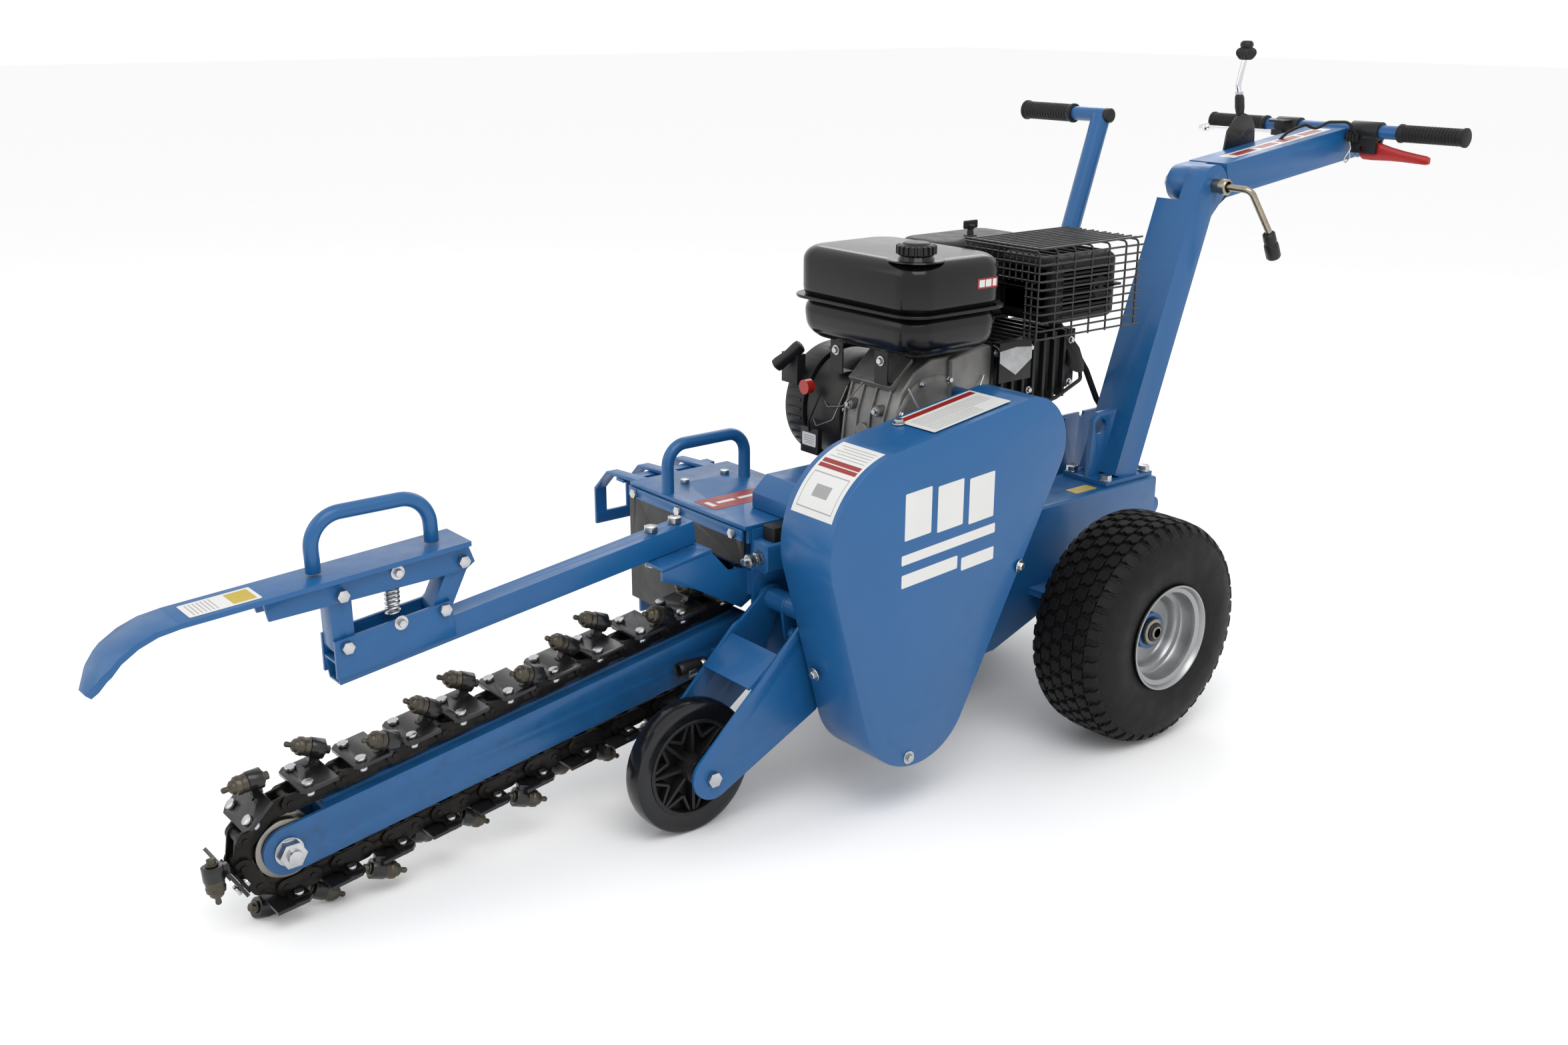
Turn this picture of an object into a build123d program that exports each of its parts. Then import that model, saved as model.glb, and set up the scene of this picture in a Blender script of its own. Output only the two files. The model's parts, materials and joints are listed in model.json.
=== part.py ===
from build123d import *
import math
import os

# Walk-behind trencher, millimetres. +Z is up, -X runs towards the tip of the digging boom,
# +X towards the handlebars, -Y is the belt-guard side. The origin is on the ground, below
# the middle of the rear axle.

os.makedirs("parts", exist_ok=True)

# Wheels
REAR_R = 190.5
REAR_Y = 233
FRONT_C = (-777, -45, 102.7)
FRONT_R = 102.7
FRONT_W = 35

# Frame
BOX_Y = 60
TOP_Z = 361
DECK_Z = 414
NEAR_Y = 20
FAR_Y = 333
FRONT_X = -605
FORK_PIVOT = (-577, 303)
LEVER_PIVOT = (226, 332)
LEVER_Y = 162
CRANK_R = 45

# Column and handle
KNUCKLE = (380, 867)
HANDLE = (789, 945)

# Boom and chain
BOOM_Y = 95
NOSE = (-1343, 110)
BOOM_RISE = 8.9
BOOM_L = 884.6
PITCH = 38.1
PITCH_R = 58
ROLLER_R = 9.5

# Engine
CRANK = (-268, 530)
BED_Z = 397

# Belt guard: three arcs joined by tangents
GUARD_ARCS = ((-524, 440, 138), (-268, 537, 78), (-487, 188, 105))
GUARD_NEAR = -225
GUARD_BACK = -115
DRIVEN = (-485, 182)
HEAD = (-469, 246.9)

# Trench cleaner
CL_BF = (-1237, 369)
CL_BR = (-1095, 388)
CL_TF = (-1238, 441)
CL_TR = (-1063, 450)


def save(part, name):
    part.label = name
    export_step(part, "parts/" + name + ".step")


def block(x0, x1, y0, y1, z0, z1, mode=Mode.ADD):
    with Locations(((x0 + x1) / 2, (y0 + y1) / 2, (z0 + z1) / 2)):
        Box(x1 - x0, y1 - y0, z1 - z0, mode=mode)


def pin_y(x, z, y0, y1, r, mode=Mode.ADD):
    with Locations(Location((x, (y0 + y1) / 2, z), (90, 0, 0))):
        Cylinder(r, y1 - y0, mode=mode)


def pin_z(x, y, z0, z1, r, mode=Mode.ADD):
    with Locations((x, y, (z0 + z1) / 2)):
        Cylinder(r, z1 - z0, mode=mode)


def pin_x(y, z, x0, x1, r, mode=Mode.ADD):
    with Locations(Location(((x0 + x1) / 2, y, z), (0, 90, 0))):
        Cylinder(r, x1 - x0, mode=mode)


def slab(points, y0, y1, mode=Mode.ADD):
    """A flat plate whose outline lies in the X-Z plane."""
    with BuildSketch(Plane.XZ.offset(-y1)) as outline:
        with BuildLine():
            Polyline(*points, close=True)
        make_face()
    extrude(outline.sketch, amount=y1 - y0, mode=mode)


def hull_slab(circles, y0, y1, mode=Mode.ADD):
    """A flat plate wrapped round circles (x, z, r) lying in the X-Z plane."""
    with BuildSketch(Plane.XZ.offset(-y1)) as outline:
        for x, z, r in circles:
            with Locations((x, z)):
                Circle(r)
        make_hull()
    extrude(outline.sketch, amount=y1 - y0, mode=mode)


def beam(p, q, y0, y1, h, mode=Mode.ADD):
    """A straight bar from p to q in the X-Z plane, h deep across its run."""
    run = math.hypot(q[0] - p[0], q[1] - p[1])
    rise = math.degrees(math.atan2(q[1] - p[1], q[0] - p[0]))
    middle = ((p[0] + q[0]) / 2, (y0 + y1) / 2, (p[1] + q[1]) / 2)
    with Locations(Location(middle, (0, -rise, 0))):
        Box(run, y1 - y0, h, mode=mode)


def tube_run(points, bends, r):
    """A round bar along straight runs joined by arcs."""
    with BuildLine() as path:
        FilletPolyline(*points, radius=bends)
    with BuildSketch(Plane(path.line @ 0, z_dir=path.line % 0)) as section:
        Circle(r)
    sweep(section.sketch, path=path.line)


def hex_z(x, y, z0, z1, r):
    with BuildSketch(Plane.XY.offset(z0)) as outline:
        with Locations((x, y)):
            RegularPolygon(r, 6)
    extrude(outline.sketch, amount=z1 - z0)


def hex_y(x, z, y0, y1, r):
    with BuildSketch(Plane.XZ.offset(-y1)) as outline:
        with Locations((x, z)):
            RegularPolygon(r, 6)
    extrude(outline.sketch, amount=y1 - y0)


def hex_x(y, z, x0, x1, r):
    with BuildSketch(Plane.YZ.offset(x0)) as outline:
        with Locations((y, z)):
            RegularPolygon(r, 6)
    extrude(outline.sketch, amount=x1 - x0)


# ---------------------------------------------------------------- main frame
# Near plate of the cleaner's bracket
BRACKET = (
    (-758, 374),
    (-668, 386),
    (-636, 350),
    (-598, 348),
    (-577, 304),
    (-613, 285),
    (-700, 335),
    (-758, 360),
)
SIDE = (
    (255, TOP_Z - 3),
    (255, 262),
    (190, 249),
    (-30, 171),
    (-151, 128),
    (-330, 120),
    (-330, TOP_Z - 3),
)
with BuildPart() as main_frame:
    slab(SIDE, -BOX_Y, -BOX_Y + 5)
    slab(SIDE, BOX_Y - 5, BOX_Y)
    block(-330, 255, -BOX_Y, BOX_Y, TOP_Z - 5, TOP_Z)
    fillet(main_frame.edges().filter_by(Axis.X).group_by(Axis.Z)[-1], 4.9)
    block(251.8, 255, -BOX_Y + 1, BOX_Y - 1, 262, TOP_Z - 1)
    block(-330, -325, -BOX_Y + 1, 140, 124, TOP_Z - 1)
    # wider floor and skirt that carry the far side of the engine
    block(-400, -205, BOX_Y - 2, 215, TOP_Z - 5, TOP_Z)
    block(-206, -70, BOX_Y - 2, 150, TOP_Z - 5, TOP_Z)
    block(-400, -205, 210, 215, TOP_Z - 60, TOP_Z)
    block(-75, -70, BOX_Y - 2, 150, TOP_Z - 40, TOP_Z)
    # head box
    block(FRONT_X, -404, NEAR_Y, NEAR_Y + 6, 150, DECK_Z)
    block(-410, -325, NEAR_Y, NEAR_Y + 6, 150, TOP_Z)
    block(FRONT_X, -404, FAR_Y - 6, FAR_Y, 190, DECK_Z)
    block(-410, -330, FAR_Y - 6, FAR_Y, 200, TOP_Z)
    block(FRONT_X, -404, NEAR_Y, FAR_Y, DECK_Z - 6, DECK_Z)
    block(-410, -404, NEAR_Y, FAR_Y, TOP_Z - 5, DECK_Z)
    block(-410, -325, NEAR_Y, FAR_Y, TOP_Z - 5, TOP_Z)
    block(-336, -329, NEAR_Y, FAR_Y, 200, TOP_Z)
    block(FRONT_X, -420, -16, NEAR_Y + 2, 352, 398)
    fillet(main_frame.edges().filter_by(Axis.X).filter_by_position(Axis.Y, -17, -15), 9)
    pin_x(2, 374, FRONT_X - 1, FRONT_X + 40, 6.3, mode=Mode.SUBTRACT)
    # seat of the boom root and the anchor of its tension screw
    block(-600, -545, NEAR_Y + 5, 65.7, 206, 252)
    block(-660, -590, 28, 58, 190, 222)
    # fork pivot pin and axle housing
    pin_y(*FORK_PIVOT, -108, NEAR_Y + 2, 10)
    pin_y(*FORK_PIVOT, 13.4, NEAR_Y + 2, 19)
    # axle housing with side flanges and gussets
    pin_y(0, REAR_R, -138, 138, 27)
    for side in (-1, 1):
        pin_y(0, REAR_R, side * 70 - 4, side * 70 + 4, 40)
        slab(((-70, 222), (60, 222), (60, 210), (-70, 210)), side * 78 - 18, side * 78 + 18)
    pin_y(0, REAR_R, -139, 139, 15.4, mode=Mode.SUBTRACT)
    # rear cross tube
    pin_y(268, 300, -46, 46, 17)
    block(250, 262, -46, 46, 285, 315)
    # shaft openings, the link rod's slot and the bolt holes of the column
    pin_y(*HEAD, 15, 31, 24, mode=Mode.SUBTRACT)
    pin_y(*HEAD, FAR_Y - 7, FAR_Y + 1, 18.4, mode=Mode.SUBTRACT)
    block(-337, -324, -54, -36, 248, 310, mode=Mode.SUBTRACT)
    for x in (139, 243):
        for y in (-39, 39):
            pin_z(x, y, TOP_Z - 9, TOP_Z + 1, 6.3, mode=Mode.SUBTRACT)
    # far bracket and bearing of the depth lever shaft
    block(196, 256, BOX_Y - 2, 132, 306, 312)
    block(196, 256, 126, 132, 306, 358)
    pin_y(*LEVER_PIVOT, BOX_Y - 3, 132, 18)
    pin_y(*LEVER_PIVOT, BOX_Y - 7, 133, 12.9, mode=Mode.SUBTRACT)
    # engine bed rails
    for y in (-42, 120):
        block(-372, -98, y, y + 46, TOP_Z - 1, BED_Z - 6)
        block(-360, -110, y + 5, y + 41, TOP_Z - 1, BED_Z - 11, mode=Mode.SUBTRACT)
    for x in (-372, -130):
        block(x, x + 32, 4, 120, TOP_Z + 12, BED_Z - 6)
    for x in (-346, -122):
        for y in (-19, 143):
            pin_z(x, y, TOP_Z, BED_Z, 5.4, mode=Mode.SUBTRACT)
    # notched sector of the depth lever
    slab(((150, 311), (172, 452), (280, 452), (300, 311)), 104, 110)
    pin_y(*LEVER_PIVOT, 100, 114, 19, mode=Mode.SUBTRACT)
    for a in (-22, 4, 30):
        turn = math.radians(a)
        x = LEVER_PIVOT[0] + 118 * math.sin(turn)
        z = LEVER_PIVOT[1] + 118 * math.cos(turn)
        pin_y(x, z, 100, 114, 7, mode=Mode.SUBTRACT)
    # bracket of the trench cleaner
    beam((-758, 377), (-668, 389), 40, 113, 5)
    slab(BRACKET, 40, 46)
    block(-601, -580, NEAR_Y + 5, 46, 305, 345)
    for x in (-740, -697):
        pin_z(x, 95, 360, 400, 6.3, mode=Mode.SUBTRACT)
save(main_frame.part, "main_frame")

# ---------------------------------------------------------------- column
with BuildPart() as column:
    block(128, 254, -50, 50, TOP_Z + 0.4, TOP_Z + 8.4)
    beam((189, TOP_Z + 4), (353.5, 834), -41, 41, 58)
    block(100, 300, -60, 60, TOP_Z - 60, TOP_Z + 0.4, mode=Mode.SUBTRACT)
    # lifting lug on the front face
    slab(((131, TOP_Z + 6), (137, 470), (150, 484), (206, 484), (206, 440), (168, TOP_Z + 6)), -5, 5)
    pin_y(159, 457, -6, 6, 15, mode=Mode.SUBTRACT)
    # tongue of the tilt joint
    hull_slab(((KNUCKLE[0], KNUCKLE[1], 36), (352, 826, 26)), -41, -2)
    pin_y(*KNUCKLE, -42, 0, 10.4, mode=Mode.SUBTRACT)
    for x in (139, 243):
        for y in (-39, 39):
            pin_z(x, y, TOP_Z, TOP_Z + 9, 6.3, mode=Mode.SUBTRACT)
save(column.part, "column")

# ---------------------------------------------------------------- engine bed


# ---------------------------------------------------------------- hood cover and flap
with BuildPart() as hood_cover:
    block(-617, -417, 24, FAR_Y, DECK_Z + 0.3, DECK_Z + 6)
    block(-611, -605.3, 24, FAR_Y, 392, DECK_Z + 6)
    for x, y in ((-551, 271), (-467, 274)):
        pin_z(x, y, DECK_Z, DECK_Z + 7, 4.3, mode=Mode.SUBTRACT)
    for y in (52, 193, 316):
        pin_x(y, 404, -613, -604, 4.3, mode=Mode.SUBTRACT)
    # carrying handle
    tube_run(((-605, 242, DECK_Z + 5), (-605, 242, 497), (-450, 242, 497), (-450, 242, DECK_Z + 5)), 34, 10)
save(hood_cover.part, "hood_cover")


with BuildPart() as rubber_flap:
    block(-615.5, -611.3, 30, 338, 218, 413)
    block(-620, -610, 20, 152, 200, 356, mode=Mode.SUBTRACT)
    for y in (52, 193, 316):
        pin_x(y, 404, -618, -610, 4.3, mode=Mode.SUBTRACT)
save(rubber_flap.part, "rubber_flap")

with BuildPart() as clamp_bar:
    block(-619.5, -615.8, 30, 334, 396, 413)
    for y in (52, 193, 316):
        pin_x(y, 404, -621, -615, 4.3, mode=Mode.SUBTRACT)
save(clamp_bar.part, "clamp_bar")

# ---------------------------------------------------------------- spoil deflector
with BuildPart() as spoil_deflector:
    for x in (-604, -540, -466):
        with BuildSketch(Plane.YZ.offset(x)):
            with BuildLine():
                Polyline(
                    (FAR_Y + 0.4, 372),
                    (FAR_Y + 0.4, 420),
                    (FAR_Y + 92, 414),
                    (FAR_Y + 132, 376),
                    (FAR_Y + 132, 312),
                    (FAR_Y + 127, 312),
                    (FAR_Y + 127, 374),
                    (FAR_Y + 90, 409),
                    (FAR_Y + 5.4, 414),
                    (FAR_Y + 5.4, 372),
                    close=True,
                )
            make_face()
        extrude(amount=22)
    block(-604, -414, FAR_Y + 126, FAR_Y + 132, 312, 332)
    block(-604, -414, FAR_Y + 40, FAR_Y + 62, 405, 410)
save(spoil_deflector.part, "spoil_deflector")

# ---------------------------------------------------------------- bearing cover of the head shaft
COVER_OUTLINE = (
    (-548, 420.4),
    (-548, 446),
    (-520, 470),
    (-425, 470),
    (-407, 450),
    (-407, 420.4),
)
with BuildPart() as bearing_cover:
    with BuildSketch(Plane.XZ.offset(-96)):
        with BuildLine():
            Polyline(*COVER_OUTLINE, close=True)
        make_face()
    extrude(amount=96)
    offset(amount=-4, openings=bearing_cover.faces().sort_by(Axis.Z)[0])
    with Locations(Location((-478, 0, 440), (90, 0, 0))):
        Box(34, 18, 12, mode=Mode.SUBTRACT)
save(bearing_cover.part, "bearing_cover")


with BuildPart() as rubber_mounts:
    block(-590, -552, -10, 18, 398.4, 420)
    fillet(rubber_mounts.edges().filter_by(Axis.Z), 5)
    # pad between the engine and its bed
    block(-366, -92, -38, 162, BED_Z - 5.7, BED_Z - 0.3)
    block(-330, -130, 6, 118, BED_Z - 6, BED_Z, mode=Mode.SUBTRACT)
    for x in (-346, -122):
        for y in (-19, 143):
            pin_z(x, y, BED_Z - 6, BED_Z, 5.4, mode=Mode.SUBTRACT)
save(rubber_mounts.part, "rubber_mounts")

# ---------------------------------------------------------------- boom
AX = (math.cos(math.radians(BOOM_RISE)), math.sin(math.radians(BOOM_RISE)))


def along(d, up=0):
    """A point d from the nose axle along the boom and up above its centre line."""
    return (NOSE[0] + d * AX[0] - up * AX[1], NOSE[1] + d * AX[1] + up * AX[0])


with BuildPart() as boom_bar:
    hull_slab(((*NOSE, 34), (*along(761), 34)), 66, 124)
    beam(along(-45), along(58), 72, 118, 90, mode=Mode.SUBTRACT)
    beam(along(66), along(730), 72, 118, 56, mode=Mode.SUBTRACT)
    for up in (-35.5, 35.5):
        beam(along(66, up), along(760, up), 84, 106, 5)
    pin_y(*NOSE, 60, 130, 10.3, mode=Mode.SUBTRACT)
    for d in (762, 784):
        pin_y(*along(d), 60, 130, 6.3, mode=Mode.SUBTRACT)
save(boom_bar.part, "boom_bar")


with BuildPart() as idler:
    pin_y(*NOSE, 74, 116, 41.6)
    pin_y(*NOSE, 85, 105, 48)
    pin_y(*NOSE, 72.4, 117.6, 18)
    pin_y(*NOSE, 70, 120, 10.4, mode=Mode.SUBTRACT)
save(idler.part, "idler")


# ---------------------------------------------------------------- digging chain
LOOP = 2 * BOOM_L + 2 * math.pi * PITCH_R
STEP = LOOP / round(LOOP / PITCH)
FIRST = BOOM_L - 40.5 - STEP / 2


def loop_point(s):
    """Point on the pitch line and the heading there, s along the upper run from the head."""
    s = s % LOOP
    half = math.pi * PITCH_R
    if s < BOOM_L:
        return (*along(BOOM_L - s, PITCH_R), 180 + BOOM_RISE)
    if s < BOOM_L + half:
        turn = (s - BOOM_L) / PITCH_R
        swing = math.radians(90 + BOOM_RISE) + turn
        x = NOSE[0] + PITCH_R * math.cos(swing)
        z = NOSE[1] + PITCH_R * math.sin(swing)
        return (x, z, 180 + BOOM_RISE + math.degrees(turn))
    if s < 2 * BOOM_L + half:
        return (*along(s - BOOM_L - half, -PITCH_R), BOOM_RISE)
    turn = (s - 2 * BOOM_L - half) / PITCH_R
    head = along(BOOM_L)
    swing = math.radians(270 + BOOM_RISE) + turn
    x = head[0] + PITCH_R * math.cos(swing)
    z = head[1] + PITCH_R * math.sin(swing)
    return (x, z, BOOM_RISE + math.degrees(turn))


def link_frame(i):
    """Middle of link i, and the turn that lays +X backwards along the run and +Z outwards."""
    x0, z0, unused = loop_point(FIRST + i * STEP)
    x1, z1, unused = loop_point(FIRST + (i + 1) * STEP)
    back = math.degrees(math.atan2(z0 - z1, x0 - x1))
    return Location(((x0 + x1) / 2, BOOM_Y, (z0 + z1) / 2), (0, -back, 0))


BOLT_T = 7
BOLT_Y = 28
# Half outline of a bullet bit: tip, collar, body, shank, washer and nut.
BULLET = (
    (-43.5, 0),
    (-43.5, 2.6),
    (-41.5, 4),
    (-34.5, 3.6),
    (-33, 6.5),
    (-30.5, 9),
    (-26.5, 9.8),
    (-25.5, 12.4),
    (-19, 13.2),
    (-17.5, 12.2),
    (-9.7, 13),
    (-9.7, 6),
    (9.7, 6),
    (9.7, 8.5),
    (13, 8.5),
    (13, 5.8),
    (19, 5.8),
    (19, 0),
)
PINS = [loop_point(FIRST + i * STEP) for i in range(57)]
OUTER = [link_frame(i) for i in range(0, 56, 2)]

with BuildPart() as chain_inner_links:
    for i in range(1, 56, 2):
        a, b = PINS[i], PINS[i + 1]
        for y in (-15.4, 11.4):
            hull_slab(((a[0], a[1], 12.4), (b[0], b[1], 12.4)), BOOM_Y + y, BOOM_Y + y + 4)
        for x, z, unused in (a, b):
            pin_y(x, z, BOOM_Y - 11.6, BOOM_Y + 11.6, ROLLER_R)
            pin_y(x, z, BOOM_Y - 16, BOOM_Y + 16, 5.3, mode=Mode.SUBTRACT)
save(chain_inner_links.part, "chain_inner_links")

with BuildPart() as chain_outer_links:
    for i in range(0, 56, 2):
        a, b = PINS[i], PINS[i + 1]
        for y in (-19.9, 15.9):
            hull_slab(((a[0], a[1], 12.4), (b[0], b[1], 12.4)), BOOM_Y + y, BOOM_Y + y + 4)
        for x, z, unused in (a, b):
            pin_y(x, z, BOOM_Y - 22, BOOM_Y + 22, 5)
    with Locations(*OUTER):
        with Locations((BOLT_T, -25, 13.4), (BOLT_T, 25, 13.4)):
            Box(24, 18, 4)
        with Locations((BOLT_T, -BOLT_Y, 13.4), (BOLT_T, BOLT_Y, 13.4)):
            Cylinder(3.5, 6, mode=Mode.SUBTRACT)
save(chain_outer_links.part, "chain_outer_links")

with BuildPart() as tooth_bolts:
    with Locations(*OUTER):
        with Locations((BOLT_T, -BOLT_Y, 15), (BOLT_T, BOLT_Y, 15)):
            Cylinder(3.2, 14)
        with Locations((BOLT_T, -BOLT_Y, 23.6), (BOLT_T, BOLT_Y, 23.6)):
            Cylinder(7.6, 5)
        with Locations((BOLT_T, -BOLT_Y, 8.6), (BOLT_T, BOLT_Y, 8.6)):
            Cylinder(6.4, 5)
save(tooth_bolts.part, "tooth_bolts")

with BuildPart() as tooth_plate:
    with BuildSketch(Plane.XY.offset(15.8)):
        with BuildLine():
            Polyline((-8, -34), (0, -42), (44, -42), (44, 42), (0, 42), (-8, 34), close=True)
        make_face()
    extrude(amount=5)
    with Locations((BOLT_T, -BOLT_Y, 18), (BOLT_T, BOLT_Y, 18)):
        Cylinder(3.5, 12, mode=Mode.SUBTRACT)

# Each tooth is drawn on its own axis, tip towards -X, and is then tilted to its cutting angle.
with BuildPart() as tooth_holder:
    with Locations(Location((0, 0, 0), (0, 90, 0))):
        Cylinder(14, 19)
    with Locations((0, 0, -13)):
        Box(14, 12, 14)
    with Locations(Location((0, 0, 0), (0, 90, 0))):
        Cylinder(6.4, 24, mode=Mode.SUBTRACT)

with BuildPart() as bullet:
    with BuildSketch(Plane.XZ):
        with BuildLine():
            Polyline(*BULLET, close=True)
        make_face()
    revolve(axis=Axis.X)

# Place of the holder on its plate, its tilt and its yaw: far side, middle, near side.
TOOTH_SEATS = (
    Location((44.7, 22, 38.2), (0, 30, -8)),
    Location((51.3, 0, 34.5), (0, 40, 0)),
    Location((51.0, -27, 30.5), (0, 28, 8)),
)
# The loop isn't a whole number of patterns long, so one repeats where the head box hides it.
SEAM = 14
SEATS = []
ROOTS = []
for i, place in enumerate(OUTER):
    seat = TOOTH_SEATS[(i if i < SEAM else i + 2) % 3]
    SEATS.append(place * seat)
    ROOTS.append(place * Location((seat.position.X - 14, seat.position.Y, 20.4)))

with BuildPart() as tooth_plates:
    with Locations(*OUTER):
        add(tooth_plate.part)
    # welded holders
    with Locations(*SEATS):
        add(tooth_holder.part)
    with Locations(*ROOTS):
        Box(18, 12, 4.6)
save(tooth_plates.part, "tooth_plates")

with BuildPart() as bullet_teeth:
    with Locations(*SEATS):
        add(bullet.part)
save(bullet_teeth.part, "bullet_teeth")

# ---------------------------------------------------------------- drive line
with BuildPart() as head_shaft:
    pin_y(*HEAD, -32, FAR_Y + 8, 18)
    pin_y(*HEAD, 86, 104, 46)
    pin_y(*HEAD, 78, 86, 30)
save(head_shaft.part, "head_shaft")

with BuildPart() as gearcase:
    hull_slab(((*DRIVEN, 44), (*HEAD, 60)), -38, 19.7)
    hull_slab(((*DRIVEN, 38), (*HEAD, 54)), -32, 14)
    pin_y(*HEAD, -33, 20, 18.4, mode=Mode.SUBTRACT)
    pin_y(*DRIVEN, -39, 10, 12.8, mode=Mode.SUBTRACT)
    # far bearing of the head shaft
    pin_y(*HEAD, FAR_Y + 0.3, FAR_Y + 6, 44)
    pin_y(*HEAD, FAR_Y, FAR_Y + 14, 30)
    pin_y(*HEAD, FAR_Y - 1, FAR_Y + 9, 18.4, mode=Mode.SUBTRACT)
save(gearcase.part, "gearcase")


BELTS = (-197, -180)
with BuildPart() as pulleys:
    pin_y(*DRIVEN, -204, 8, 12.4)
    pin_y(*DRIVEN, -203, -160, 88)
    for y in (-204, -188.5, -172):
        pin_y(*DRIVEN, y, y + 4, 96)
    for side in (-204, -172):
        pin_y(*DRIVEN, side - 5, side + 9, 70, mode=Mode.SUBTRACT)
    pin_y(*DRIVEN, -203, -160, 24)
    # clutch drum pulley
    pin_y(*CRANK, -203, -160, 56)
    for y in (-204, -188.5, -172):
        pin_y(*CRANK, y, y + 4, 64)
    pin_y(*CRANK, -206, -166, 49, mode=Mode.SUBTRACT)
    pin_y(*CRANK, -170, -150, 13.2, mode=Mode.SUBTRACT)
save(pulleys.part, "pulleys")


with BuildPart() as belts:
    for y in (-199.6, -184):
        hull_slab(((*CRANK, 63), (*DRIVEN, 95)), y, y + 10.6)
        hull_slab(((*CRANK, 56.4), (*DRIVEN, 88.4)), y - 1, y + 12, mode=Mode.SUBTRACT)
save(belts.part, "belts")

with BuildPart() as crankshaft:
    pin_y(*CRANK, -212, 232, 12.5)
    pin_y(*CRANK, -200, -170, 46)
    pin_y(*CRANK, -212, -208, 17)
    pin_y(*CRANK, 204, 224, 78)
save(crankshaft.part, "crankshaft")

# ---------------------------------------------------------------- belt guard
INNER = [(x, z, r - 2.5) for x, z, r in GUARD_ARCS]
with BuildPart() as belt_guard:
    hull_slab(GUARD_ARCS, GUARD_NEAR, GUARD_BACK)
    hull_slab(INNER, GUARD_NEAR + 2.5, GUARD_BACK + 1, mode=Mode.SUBTRACT)
save(belt_guard.part, "belt_guard")

with BuildPart() as guard_back:
    hull_slab([(x, z, r - 3) for x, z, r in GUARD_ARCS], GUARD_BACK - 3, GUARD_BACK)
    pin_y(*CRANK, GUARD_BACK - 4, GUARD_BACK + 1, 30, mode=Mode.SUBTRACT)
    pin_y(*DRIVEN, GUARD_BACK - 4, GUARD_BACK + 1, 30, mode=Mode.SUBTRACT)
    for x, z, y in ((-505, 205, -38.3), (-432, 214, -38.3), (-310, 480, -20.3), (-226, 580, -20.3)):
        pin_y(x, z, GUARD_BACK, y, 9)
save(guard_back.part, "guard_back")

# ---------------------------------------------------------------- trench cleaner
with BuildPart() as cleaner_bar:
    beam((-1250, 333), (-672, 410), 77.5, 112.5, 35)
    beam((-1254, 332), (-668, 411), 81, 109, 28, mode=Mode.SUBTRACT)
    for y0, y1 in ((72.5, 77.5), (112.5, 117.5)):
        slab(((-1253, 326), (-1253, 379), (-1084, 398), (-1079, 346)), y0, y1)
    for x, z in (CL_BF, CL_BR):
        pin_y(x, z, 70, 120, 5.3, mode=Mode.SUBTRACT)
    for x in (-740, -697):
        pin_z(x, 95, 360, 440, 6.3, mode=Mode.SUBTRACT)
save(cleaner_bar.part, "cleaner_bar")


with BuildPart() as front_link:
    hull_slab(((*CL_BF, 15), (*CL_TF, 15)), 78.6, 111.4)
    window = ((CL_BF[0], CL_BF[1] + 20, 11), (CL_TF[0], CL_TF[1] - 20, 11))
    hull_slab(window, 82, 108, mode=Mode.SUBTRACT)
    for x, z in (CL_BF, CL_TF):
        pin_y(x, z, 70, 120, 5.4, mode=Mode.SUBTRACT)
save(front_link.part, "front_link")

with BuildPart() as rear_link:
    hull_slab(((*CL_BR, 14), (*CL_TR, 14)), 78.6, 111.4)
    window = ((CL_BR[0] + 9, CL_BR[1] + 18, 9), (CL_TR[0] - 9, CL_TR[1] - 18, 9))
    hull_slab(window, 82, 108, mode=Mode.SUBTRACT)
    for x, z in (CL_BR, CL_TR):
        pin_y(x, z, 70, 120, 5.4, mode=Mode.SUBTRACT)
save(rear_link.part, "rear_link")

TONGUE = (
    (-1449, 457),
    (-1478, 453),
    (-1503, 444),
    (-1526, 430),
    (-1546, 410),
    (-1562, 386),
    (-1556, 382),
    (-1540, 404),
    (-1522, 423),
    (-1500, 437),
    (-1476, 446),
    (-1449, 450),
)
TONGUE_PLAN = (
    (-1440, 60),
    (-1534, 60),
    (-1549, 68),
    (-1561, 84),
    (-1562, 106),
    (-1549, 122),
    (-1534, 130),
    (-1440, 130),
)
SHOE_CHEEK = ((-1340, 447), (-1336, 428), (-1060, 436), (-1045, 446), (-1055, 474), (-1340, 458))
SHOE_TOP = ((-1055, 473), (-1055, 480), (-1340, 464), (-1450, 457), (-1450, 450), (-1340, 457))
# The tongue curves down ahead of the shoe and ends in a half round.
with BuildPart() as tongue:
    slab(TONGUE, 60, 130)
    with BuildSketch(Plane.XY.offset(340)) as outline:
        with BuildLine():
            Polyline(*TONGUE_PLAN, close=True)
        make_face()
    extrude(outline.sketch, amount=160, mode=Mode.INTERSECT)

with BuildPart() as shoe:
    for y0, y1 in ((72.5, 77.5), (112.5, 117.5)):
        slab(SHOE_CHEEK, y0, y1)
        for x, z in (CL_TF, CL_TR):
            pin_y(x, z, 60, 130, 5.5, mode=Mode.SUBTRACT)
    slab(SHOE_TOP, 60, 130)
    add(tongue.part)
    # carrying handle
    tube_run(((-1264, 95, 472), (-1266, 95, 546), (-1098, 95, 546), (-1096, 95, 480)), 42, 10)
save(shoe.part, "shoe")


with BuildPart() as shoe_pins:
    for x, z in (CL_TF, CL_TR):
        pin_y(x, z, 68, 122, 5)
        hex_y(x, z, 65, 72.2, 9)
        hex_y(x, z, 117.8, 125, 9)
save(shoe_pins.part, "shoe_pins")

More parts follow.
